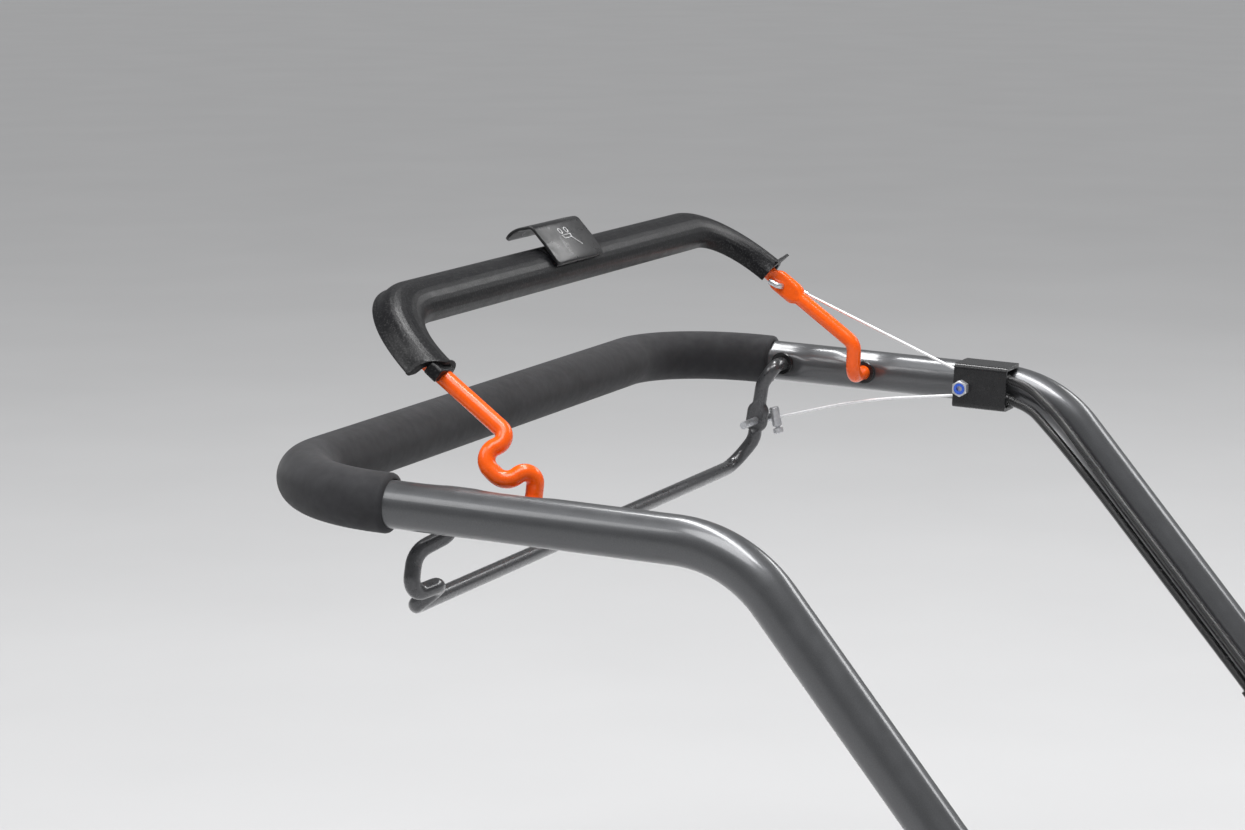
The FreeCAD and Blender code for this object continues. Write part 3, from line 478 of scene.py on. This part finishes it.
def zinc():
    """Zinc plate with faint stains and marks."""
    metal = Surface("zinc", (0.62, 0.63, 0.65), 0.42, Metallic=0.8)
    metal.colours(metal.noise(1.5), (0.56, 0.57, 0.6), (0.68, 0.68, 0.69))
    metal.roughness(metal.noise(0.8, 5.0), 0.36, 0.5)
    return metal.relief(metal.noise(0.4, 2.0), 0.006).material


def wire_steel():
    """Plain bright steel, as drawn wire."""
    metal = Surface("wire_steel", (0.6, 0.61, 0.64), 0.3, Metallic=0.85)
    metal.colours(metal.noise(1.5), (0.54, 0.55, 0.58), (0.68, 0.69, 0.71))
    return metal.roughness(metal.noise(2.0), 0.25, 0.38).material


def cable_strand():
    """The fine bright strands of a cable's inner wire."""
    metal = Surface("cable_strand", (0.85, 0.85, 0.86), 0.4, Metallic=0.4)
    metal.colours(metal.noise(1.5), (0.8, 0.8, 0.81), (0.9, 0.9, 0.91))
    return metal.roughness(metal.noise(2.0), 0.36, 0.45).material


def conduit_jacket():
    """Glossy black jacket of a wound conduit."""
    jacket = Surface("conduit_jacket", (0.008, 0.008, 0.009), 0.18, Coat_Weight=0.6, Coat_Roughness=0.05)
    jacket.colours(jacket.noise(2.0), (0.006, 0.006, 0.007), (0.012, 0.012, 0.013))
    jacket.roughness(jacket.noise(4.0), 0.16, 0.3)
    return jacket.relief(jacket.noise(0.5), 0.01).material


def blue_nylon():
    """The lock nut's blue nylon ring."""
    nylon = Surface("blue_nylon", (0.03, 0.1, 0.55), 0.35, Subsurface_Weight=0.05)
    nylon.colours(nylon.noise(0.8), (0.02, 0.075, 0.45), (0.05, 0.14, 0.66))
    return nylon.relief(nylon.noise(0.3), 0.01).material


def label_ink():
    """Pale ink of the tab's pictogram, thin in places."""
    ink = Surface("label_ink", (0.6, 0.6, 0.6), 0.5)
    ink.colours(ink.noise(0.6), (0.42, 0.42, 0.43), (0.75, 0.75, 0.75))
    return ink.relief(ink.noise(0.3), 0.01).material


def floor_paper():
    """Pale studio paper."""
    paper = Surface("floor_paper", (0.5, 0.5, 0.505), 0.8)
    paper.colours(paper.noise(300.0), (0.49, 0.49, 0.495), (0.51, 0.51, 0.515))
    return paper.material


MATERIALS = {
    "tube_paint": tube_paint(),
    "grip_foam": grip_foam(),
    "orange_paint": orange_paint(),
    "cover_plastic": cover_plastic(),
    "tab_plastic": satin_black("tab_plastic", 0.3),
    "black_plastic": satin_black("black_plastic", 0.45),
    "bushing_plastic": satin_black("bushing_plastic", 0.2),
    "cap_plastic": satin_black("cap_plastic", 0.3),
    "bracket_paint": bracket_paint(),
    "dark_paint": dark_paint(),
    "zinc": zinc(),
    "wire_steel": wire_steel(),
    "cable_strand": cable_strand(),
    "conduit_jacket": conduit_jacket(),
    "blue_nylon": blue_nylon(),
    "label_ink": label_ink(),
}


def dress_cad_nodes():
    """Every CAD node gets its slot's material, and softened edges on the pieces that show them."""
    slots = {item["node"]: item["material_slot"] for item in frame["record"]["subparts"]}
    for name, obj in frame["nodes"].items():
        obj.data.materials.clear()
        obj.data.materials.append(MATERIALS[slots[name]])
        sharpen(obj)
    soften(frame["nodes"]["cable_bracket"], 0.8)
    for name in ("cable_clips", "leg_plug_left", "leg_plug_right", "bracket_washer"):
        soften(frame["nodes"][name], 0.25, 2)


# ------------------------------------------------------------------ handle


def handlebar_route(end_run, step):
    points = [
        leg_point(RIGHT, end_run),
        side_point(RIGHT, SIDE_RUN),
        side_point(RIGHT, 0),
        side_point(LEFT, 0),
        side_point(LEFT, SIDE_RUN),
        leg_point(LEFT, end_run),
    ]
    return rounded_route(points, [BEND_RADIUS, CORNER_RADIUS, CORNER_RADIUS, BEND_RADIUS], step)


def press_dents(point, radius):
    """Presses the tube's inner face in round each pivot, in a hollow that lowers its upper shoulder too."""
    hand = RIGHT if point.x > 0 else LEFT
    run = point.dot(SIDE)
    inward = HALF_WIDTH - abs(point.x)
    for pivot_run in (BRAKE_PIVOT_RUN, DRIVE_PIVOT_RUN):
        if inward < SHOULDER_START or abs(run - pivot_run) > DENT_WINDOW:
            continue
        hollow = math.exp(-(((run - pivot_run) / DENT_REACH) ** 4))
        limit = radius - DENT_DEPTH * hollow
        softness = DENT_SOFTNESS * hollow
        if softness > 0.01:
            blend = softness * math.log(1 + math.exp(-abs(inward - limit) / softness))
            inward = min(inward, limit) - blend
        height = max(point.dot(OVER_SIDE), 0.0)
        sag = math.exp(-(((run - pivot_run) / SHOULDER_REACH) ** 4))
        sag *= smooth_step((inward - SHOULDER_START) / SHOULDER_WIDTH)
        point = Vector((hand * (HALF_WIDTH - inward), point.y, point.z))
        point -= OVER_SIDE * (height * SHOULDER_SAG * sag)
    return point


def build_tube():
    rings = []
    for radius, order in ((TUBE_RADIUS, 1), (TUBE_RADIUS - TUBE_WALL, -1)):
        level = []
        for place, _, across, up, _ in stations(handlebar_route(LEG_RUN, 2.2), X):
            level.append([press_dents(point, radius) for point in circle(place, across, up, radius, 44)])
        rings.extend(level[::order])
    tube = skin("tube", rings, joined=True)
    holes = []
    for hand in (RIGHT, LEFT):
        for run in LEG_HOLE_RUNS:
            start = leg_point(hand, run) - X * 20
            holes.append(drill("leg_hole", start, X, LEG_HOLE_RADIUS, 40))
        for run in (BRAKE_PIVOT_RUN, DRIVE_PIVOT_RUN):
            start = side_point(hand, run, inward=TUBE_RADIUS + 2)
            holes.append(drill("pin_hole", start, X * hand, PIN_HOLE_RADIUS, TUBE_RADIUS))
    carve(tube, holes)
    sharpen(tube, 40)
    place_piece(tube, "handle", "tube_paint", MATERIALS["tube_paint"], "handlebar_tube")


def build_grip():
    ends = ((RIGHT, GRIP_END), (RIGHT, 0), (LEFT, 0), (LEFT, GRIP_END))
    points = [side_point(hand, run) for hand, run in ends]
    levels = stations(rounded_route(points, [CORNER_RADIUS] * 2, 1.0), X)
    length = levels[-1][4]
    rings = []
    for place, _, across, up, distance in levels:
        edge = max(GRIP_EDGE - min(distance, length - distance), 0.0)
        radius = GRIP_RADIUS - GRIP_EDGE + math.sqrt(max(GRIP_EDGE**2 - edge**2, 0.0))
        rings.append(circle(place, across, up, radius, 64))
    first, last = levels[0], levels[-1]
    rings.insert(0, circle(first[0], first[2], first[3], TUBE_RADIUS, 64))
    rings.append(circle(last[0], last[2], last[3], TUBE_RADIUS, 64))
    inner = [circle(level[0], level[2], level[3], TUBE_RADIUS, 64) for level in levels[::-8]]
    grip = skin("grip", rings + inner[1:-1], joined=True)
    sharpen(grip, 50)
    place_piece(grip, "handle", "grip_foam", MATERIALS["grip_foam"], "foam_grip")


# ------------------------------------------------------------------ bails


def press_eye(point, centre, along, sizes):
    """Flattens a rod towards its eye: pressed along X, and spread across into a rounded plate."""
    rod, half_thick, half_wide, half_length, straight = sizes
    across = X.cross(along)
    offset = point - centre
    run = abs(offset.dot(along))
    press = smooth_step((half_length - run) / EYE_RAMP)
    if press <= 0:
        return point
    limit = rod + (half_thick - rod) * press
    if abs(offset.x) > limit:
        excess = abs(offset.x) - limit
        bulge = EYE_CREASE * (1 - math.exp(-excess / EYE_CREASE)) * press
        offset.x = math.copysign(limit + bulge, offset.x)
    past = max(run - straight, 0.0)
    width = math.sqrt(max(half_wide**2 - past**2, 0.0))
    offset += across * (offset.dot(across) * max(width / rod - 1, 0.0))
    return centre + offset


def build_rod(name, points, radii, radius, eye):
    centre, along, sizes, hole, hole_radius = eye
    rings = []
    for place, _, across, up, _ in stations(rounded_route(points, radii, 0.9), Vector((0, 0, 1))):
        ring = circle(place, across, up, radius, 36)
        if (place - centre).length < sizes[3] + 2:
            ring = [press_eye(point, centre, along, sizes) for point in ring]
        rings.append(ring)
    rod = skin(name, rings)
    carve(rod, [drill("eye", hole - X * 10, X, hole_radius, 20)])
    sharpen(rod, 50)
    return rod


def build_brake_rod():
    pin_end = HALF_WIDTH - 1
    points = [
        BRAKE_PIVOT + X * pin_end,
        BRAKE_PIVOT + X * 224,
        Vector((224.0, 126.3, 16.5)),
        Vector((233.0, 114.6, 6.0)),
        Vector((234.4, 100.8, 18.4)),
        Vector((224.5, 114.5, 25.0)),
        brake_leg(RIGHT, BRAKE_LOOP),
        brake_leg(LEFT, BRAKE_LOOP),
        brake_leg(LEFT, 0),
        BRAKE_PIVOT - X * 219,
        BRAKE_PIVOT - X * pin_end,
    ]
    radii = [7.5, 5.2, 7.0, 6.6, 5.4, BRAKE_CORNER, BRAKE_CORNER, 8.0, 7.5]
    centre = brake_leg(LEFT, 49.3)
    sizes = (BRAKE_ROD_RADIUS, 2.5, 6.15, 12.0, 5.0)
    eye = (centre, BRAKE_UP, sizes, BRAKE_EYE, 1.75)
    rod = build_rod("brake_rod", points, radii, BRAKE_ROD_RADIUS, eye)
    place_piece(rod, "brake_bail", "orange_paint", MATERIALS["orange_paint"], "brake_bail_rod")


def build_drive_rod():
    pin_end = HALF_WIDTH - 1
    points = [
        DRIVE_PIVOT + X * pin_end,
        DRIVE_PIVOT + X * 210,
        Vector((210.0, 78.0, -22.0)),
        Vector((217.0, 62.5, -31.0)),
        Vector((220.5, 61.0, -51.0)),
        Vector((196.5, 67.5, -48.5)),
        Vector((197.5, 51.5, -61.2)),
        Vector((-222.0, 51.5, -61.4)),
        Vector((-225.0, 63.0, -46.0)),
        Vector((-225.0, 68.0, -14.0)),
        DRIVE_PIVOT - X * 225,
        DRIVE_PIVOT - X * pin_end,
    ]
    radii = [7.0, 8.0, 12.0, 7.0, 6.0, 5.5, DRIVE_CORNER, DRIVE_CORNER, 12.0, 5.0]
    along = (points[9] - points[8]).normalized()
    sizes = (DRIVE_ROD_RADIUS, 2.5, 6.4, 10.0, 2.6)
    eye = (DRIVE_EYE + along * 2.0, along, sizes, DRIVE_EYE, 2.15)
    rod = build_rod("drive_rod", points, radii, DRIVE_ROD_RADIUS, eye)
    place_piece(rod, "drive_bail", "dark_paint", MATERIALS["dark_paint"], "drive_bail_rod")


def cover_outline():
    """The cover's channel section: a crowned back, two flanges and a flared outer lip."""
    crown = []
    for step in range(13):
        turn = math.radians(174 - 14 * step)
        crown.append((11.6 * math.cos(turn), 8.4 * math.sin(turn)))
    inside = [
        (12.3, -4.7), (10.3, -2.4), (9.1, 2.2), (5.6, 5.5),
        (0.0, 6.4), (-5.6, 5.5), (-9.1, 2.2), (-10.1, -2.6),
    ]
    corners = [(-12.0, -2.6)] + crown + [(12.2, -2.0), (13.6, -3.8)] + inside
    radii = [0.9] + [4.0] * len(crown) + [3.0, 0.7, 0.7, 3.0, 4.0, 4.0, 12.0, 4.0, 4.0, 0.9]
    return rounded_outline(corners, radii)


def cover_stations():
    points = [brake_leg(hand, run) for hand, run in
              ((RIGHT, COVER_START), (RIGHT, BRAKE_LOOP), (LEFT, BRAKE_LOOP), (LEFT, COVER_START))]
    return stations(rounded_route(points, [COVER_CORNER] * 2, 1.0), BRAKE_FRONT)


def in_section(place, tangent, outward, front):
    """A point of the bail's section: `outward` from its loop and to the `front` of it."""
    return place + BRAKE_FRONT.cross(tangent).normalized() * outward + BRAKE_FRONT * front


def build_cover_shell():
    """The channel: its right end is cut off at a slant, with a thin rim."""
    outline = cover_outline()
    rings = []
    for place, tangent, _, _, distance in cover_stations():
        fade = max(1 - distance / 20.0, 0.0)
        rim = 1 - smooth_step((distance - 1.0) / 0.8)
        ring = []
        for point in outline:
            slant = COVER_SLANT * max(point.x - 3.0, 0.0) * fade
            outward = point.x * (1 + 0.04 * rim)
            front = point.y + max(point.y, 0.0) * 0.12 * rim
            ring.append(in_section(place + tangent * slant, tangent, outward, front))
        rings.append(ring)
    shell = skin("cover_shell", rings)
    sharpen(shell, 45)
    place_piece(shell, "brake_bail", "cover_plastic", MATERIALS["cover_plastic"], "brake_bail_cover")


def plate(name, place, tangent, corners, radii, thickness, soft=0.35):
    """A flat piece with a rounded outline in the bail's section, and softened edges."""
    outline = rounded_outline(corners, radii)
    rings = []
    for shift in (0.0, thickness):
        rings.append([in_section(place + tangent * shift, tangent, point.x, point.y) for point in outline])
    obj = skin(name, rings)
    soften(obj, soft)
    finish_mesh(obj)
    return place_piece(obj, "brake_bail", "cover_plastic", MATERIALS["cover_plastic"])


def build_cover_fittings():
    """The boss round the right leg, the left end's flange, the pad under the tab and the inner ribs."""
    levels = cover_stations()
    place, tangent = levels[0][0], levels[0][1]
    boss = [(-5.0, 6.6), (8.2, 6.6), (8.2, -0.4), (-5.0, -0.4)]
    plate("cover_boss", place - tangent * 2.5, tangent, boss, [1.8] * 4, 7.0, 0.6)
    place, tangent = levels[-1][0], levels[-1][1]
    flange = [(-4.0, 7.2), (-4.0, 9.2), (15.0, 10.7), (15.0, 9.9), (8.0, 6.9)]
    plate("cover_flange", place - tangent * 1.5, tangent, flange, [0.8, 1.0, 0.3, 0.3, 3.0], 1.5, 0.25)
    middle = (brake_leg(RIGHT, BRAKE_LOOP) + brake_leg(LEFT, BRAKE_LOOP)) / 2
    pad = [(-6.5, 6.7), (-6.5, 8.5), (-3.0, 9.4), (6.5, 9.4), (6.5, 6.7)]
    plate("cover_pad", middle + X * 27.0, -X, pad, [0.5, 1.2, 3.0, 2.0, 0.5], 54.0, 0.6)
    rib = [(-9.3, 3.0), (-5.0, 6.0), (5.0, 6.0), (9.3, 3.0), (9.4, -2.2), (-9.4, -2.2)]
    for index in range(5):
        place = middle + X * (82.0 * (index - 2) + 0.8)
        plate(f"cover_rib_{index}", place, -X, rib, [1.0] * 6, 1.6)


def tab_line():
    """The tab's middle line in the bail's section: (up the loop, to the front) points in fine steps."""
    corners = [(-7.6, 9.3), (4.3, 12.3), (15.6, 14.3), (22.0, 7.0), (22.6, -0.4)]
    points = [Vector((x, y, 0)) for x, y in corners]
    return rounded_route(points, [22.0, 3.2, 12.0], 0.7)


def tab_place(level, width, lift=0.0):
    """A point on the tab: a station of its middle line, a place across it and a height off its face."""
    place, _, _, up, _ = level
    middle = (brake_leg(RIGHT, BRAKE_LOOP) + brake_leg(LEFT, BRAKE_LOOP)) / 2
    at = place + up * lift
    return middle + X * width + BRAKE_UP * at.x + BRAKE_FRONT * at.y


def tab_centre():
    """How far the tab's middle is from the loop's middle, across the bail."""
    low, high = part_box("label_tab")
    middle = (brake_leg(RIGHT, BRAKE_LOOP).x + brake_leg(LEFT, BRAKE_LOOP).x) / 2
    return (grip_frame(low).x + grip_frame(high).x) / 2 - middle


def build_tab():
    """A bent strip with rounded long edges, and rounded corners at both ends."""
    levels = stations(tab_line(), Vector((0, 0, 1)))
    length = levels[-1][4]
    centre = tab_centre()
    rings = []
    for level in levels:
        from_end = min(level[4], length - level[4])
        past = max(TAB_CORNER - from_end, 0.0)
        inset = TAB_CORNER - math.sqrt(max(TAB_CORNER**2 - past**2, 0.0))
        half = TAB_WIDTH / 2 - inset - TAB_EDGE
        flat = TAB_THICK / 2 - TAB_EDGE
        ring = []
        for quarter, (side, lift) in enumerate(((1, 1), (-1, 1), (-1, -1), (1, -1))):
            for step in range(4):
                turn = math.radians(90 * quarter + 30 * step)
                width = centre + side * half + TAB_EDGE * math.cos(turn)
                ring.append(tab_place(level, width, lift * flat + TAB_EDGE * math.sin(turn)))
        rings.append(ring)
    tab = skin("tab", rings)
    sharpen(tab, 50)
    place_piece(tab, "brake_bail", "tab_plastic", MATERIALS["tab_plastic"], "label_tab")
    build_pictogram(levels, centre)


def build_pictogram(levels, centre):
    """A plain pictogram on the tab's face: a mower's deck and handle, and two wheels."""
    length = levels[-1][4]

    def on_tab(across, along):
        """A point on the tab's outer face, in millimetres from the pictogram's middle."""
        distance = length * MARK_PLACE - along * MARK_SCALE
        after = next(index for index, level in enumerate(levels) if level[4] > distance)
        low, high = levels[after - 1], levels[after]
        ratio = (distance - low[4]) / (high[4] - low[4])
        width = centre + across * MARK_SCALE
        ends = [tab_place(level, width, -TAB_THICK / 2 - 0.05) for level in (low, high)]
        return ends[0].lerp(ends[1], ratio)

    def stroke(name, marks):
        curve = bpy.data.curves.new(name, "CURVE")
        curve.dimensions = "3D"
        curve.bevel_depth = MARK_RADIUS * MM
        curve.bevel_resolution = 2
        spline = curve.splines.new("POLY")
        spline.points.add(len(marks) - 1)
        for point, (across, along) in zip(spline.points, marks):
            point.co = (*row(on_tab(across, along)), 1.0)
        obj = bpy.data.objects.new(name, curve)
        bpy.context.scene.collection.objects.link(obj)
        place_piece(obj, "brake_bail", "tab_plastic", MATERIALS["label_ink"])

    stroke("mark_deck", [(-3.6, 0.2), (-2.8, 1.5), (2.4, 1.5), (3.4, 0.2), (-3.6, 0.2)])
    stroke("mark_handle", [(-2.8, 1.5), (-5.0, 3.2), (-7.2, 4.9)])
    for index, wheel_place in enumerate((-2.4, 2.4)):
        wheel = []
        for step in range(13):
            turn = math.radians(30 * step)
            wheel.append((wheel_place + 1.1 * math.cos(turn), -1.5 + 1.1 * math.sin(turn)))
        stroke(f"mark_wheel_{index}", wheel)


# ------------------------------------------------------------------ cables


def stranded(name, points, radii, body, node):
    """A stranded wire: six lobes that twist along it."""
    rings = []
    for place, _, across, up, distance in stations(rounded_route(points, radii, 0.7)):
        ring = []
        for index in range(36):
            angle = 2 * math.pi * index / 36
            lobe = abs(math.cos((angle - 2 * math.pi * distance / WIRE_LAY) * WIRE_LOBES / 2))
            reach = WIRE_RADIUS * (0.96 + 0.04 * lobe)
            ring.append(place + across * (reach * math.cos(angle)) + up * (reach * math.sin(angle)))
        rings.append(ring)
    wire = skin(name, rings)
    place_piece(wire, body, "wire_steel", MATERIALS["cable_strand"], node)


BRAKE_MOUTH = Vector((-226.0, 181.0, 0.5))
DRIVE_MOUTH = Vector((-227.0, 181.0, -14.2))


def easy_radii(points):
    """A bend at each point that takes up 0.45 of the shorter run beside it."""
    radii = []
    for before, corner, after in zip(points, points[1:], points[2:]):
        half_turn = (corner - before).angle(after - corner) / 2
        shorter = min((corner - before).length, (after - corner).length)
        radii.append(0.45 * shorter / math.tan(half_turn))
    return radii


def build_wires():
    outside = BRAKE_EYE - X * 7.5
    pull = (BRAKE_MOUTH - outside).normalized()
    start = outside + pull * 13
    stranded("brake_wire", [start, BRAKE_MOUTH + pull * 14], [], "brake_cable_end", "brake_cable_wire")
    barrel = DRIVE_EYE + Vector((-7.3, 8.6, 1.4))
    knee = Vector((-229.0, 126.0, -20.2))
    pull = (DRIVE_MOUTH - knee).normalized()
    points = [barrel + Vector((0, 2.9, 0.3)), knee, DRIVE_MOUTH + pull * 21]
    stranded("drive_wire", points, easy_radii(points), "drive_cable_end", "drive_cable_wire")


CONDUIT_STARTS = {
    "brake": [Vector((-229.0, 210.6, -4.2)), Vector((-231.0, 222.0, -8.4)), Vector((-233.6, 238.0, -24.0))],
    "drive": [Vector((-229.0, 210.6, -15.4)), Vector((-231.5, 223.0, -20.6)), Vector((-234.5, 238.0, -37.5))],
}
CONDUIT_LEGS = {
    "brake": [(60, 14.1, 2.1), (245, 14.1, 2.1)],
    "drive": [(62, 10.1, 10.1), (245, 10.1, 10.1)],
}


def build_conduits():
    """Each conduit shows the turns of its winding as fine grooves."""
    for cable, starts in CONDUIT_STARTS.items():
        points = starts + [leg_point(LEFT, *place) for place in CONDUIT_LEGS[cable]]
        route = rounded_route(points, easy_radii(points), CONDUIT_PITCH / 4)
        rings = []
        for place, _, across, up, distance in stations(route):
            radius = CONDUIT_RADIUS + CONDUIT_RIB * math.cos(2 * math.pi * distance / CONDUIT_PITCH)
            rings.append(circle(place, across, up, radius, 20))
        conduit = skin(f"{cable}_conduit", rings)
        jacket = MATERIALS["conduit_jacket"]
        place_piece(conduit, "handle", "conduit_jacket", jacket, f"{cable}_cable_conduit")


def build_lock_nut():
    """A hexagon nut with chamfered corners, bored for its bolt and recessed for its ring."""
    low, high = (grip_frame(corner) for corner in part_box("bracket_nut"))
    axis_place = Vector((low.x, (low.y + high.y) / 2, (low.z + high.z) / 2))
    flat = (high.y - low.y) / 2
    length = high.x - low.x
    rings = []
    chamfer_start = flat * 0.94
    rows = (
        ("bore", 0.0), ("face", 0.0), ("corner", 0.0), ("corner", 1.0),
        ("face", 1.0), ("seat", 1.0), ("seat", 0.72), ("bore", 0.72),
    )
    for kind, level in rows:
        ring = []
        for index in range(96):
            angle = 2 * math.pi * index / 96
            corner = flat / math.cos((angle + math.pi / 6) % (math.pi / 3) - math.pi / 6)
            radius = {"bore": 2.55, "seat": 3.15, "face": chamfer_start, "corner": corner}[kind]
            drop = max(corner - chamfer_start, 0) * 0.55 if kind == "corner" else 0.0
            along = length * level + (drop if level == 0.0 else -drop)
            side = Vector((0, math.cos(angle), math.sin(angle))) * radius
            ring.append(axis_place + X * along + side)
        rings.append(ring)
    nut = skin("lock_nut", rings, joined=True)
    sharpen(nut, 22)
    place_piece(nut, "handle", "zinc", MATERIALS["zinc"], "bracket_nut")


# ------------------------------------------------------------------ studio


def add_floor():
    mesh = bpy.data.meshes.new("floor")
    reach = 30.0
    corners = [(-reach, -reach, 0), (reach, -reach, 0), (reach, reach, 0), (-reach, reach, 0)]
    mesh.from_pydata(corners, [], [(0, 1, 2, 3)])
    floor = bpy.data.objects.new("floor", mesh)
    floor.location.z = cad_box[0][2] - 0.0005
    bpy.context.scene.collection.objects.link(floor)
    mesh.materials.append(floor_paper())


def add_area_light(name, place, target, size, power):
    light = bpy.data.lights.new(name, "AREA")
    light.shape = "RECTANGLE"
    light.size, light.size_y = size
    light.energy = power
    obj = bpy.data.objects.new(name, light)
    obj.location = place
    obj.rotation_euler = (Vector(target) - Vector(place)).to_track_quat("-Z", "Y").to_euler()
    bpy.context.scene.collection.objects.link(obj)


def add_lights():
    target = (0, 0, 0.3)
    add_area_light("top", (-0.1, 0.1, 2.2), target, (2.4, 0.35), 42)
    add_area_light("key", (1.4, -1.4, 1.9), target, (1.6, 0.9), 16)
    add_area_light("rim", (-1.8, 1.2, 1.6), target, (2.0, 0.4), 16)
    light = bpy.data.lights.new("sky_panel", "SUN")
    light.energy = 1.7
    light.angle = math.radians(35.0)
    sun = bpy.data.objects.new("sky_panel", light)
    sun.rotation_euler = Vector((-0.5, -0.1, -1.0)).to_track_quat("-Z", "Y").to_euler()
    bpy.context.scene.collection.objects.link(sun)
    world = bpy.data.worlds.new("studio")
    world.use_nodes = True
    background = world.node_tree.nodes["Background"]
    background.inputs["Color"].default_value = (0.78, 0.79, 0.8, 1.0)
    background.inputs["Strength"].default_value = 0.3
    scene = bpy.context.scene
    scene.world = world
    scene.view_settings.view_transform = "Standard"


def add_camera():
    camera = bpy.data.cameras.new("camera")
    camera.lens = 102.67
    camera.sensor_width = 36.0
    obj = bpy.data.objects.new("camera", camera)
    obj.location = row(Vector((1641.67, 748.28, 277.84)))
    obj.rotation_euler = Vector((-0.91413, -0.375, -0.15409)).to_track_quat("-Z", "Y").to_euler()
    bpy.context.scene.collection.objects.link(obj)
    bpy.context.scene.camera = obj


def main():
    dress_cad_nodes()
    build_tube()
    build_grip()
    build_brake_rod()
    build_drive_rod()
    build_cover_shell()
    build_cover_fittings()
    build_tab()
    build_wires()
    build_conduits()
    build_lock_nut()
    add_floor()
    add_lights()
    add_camera()


main()
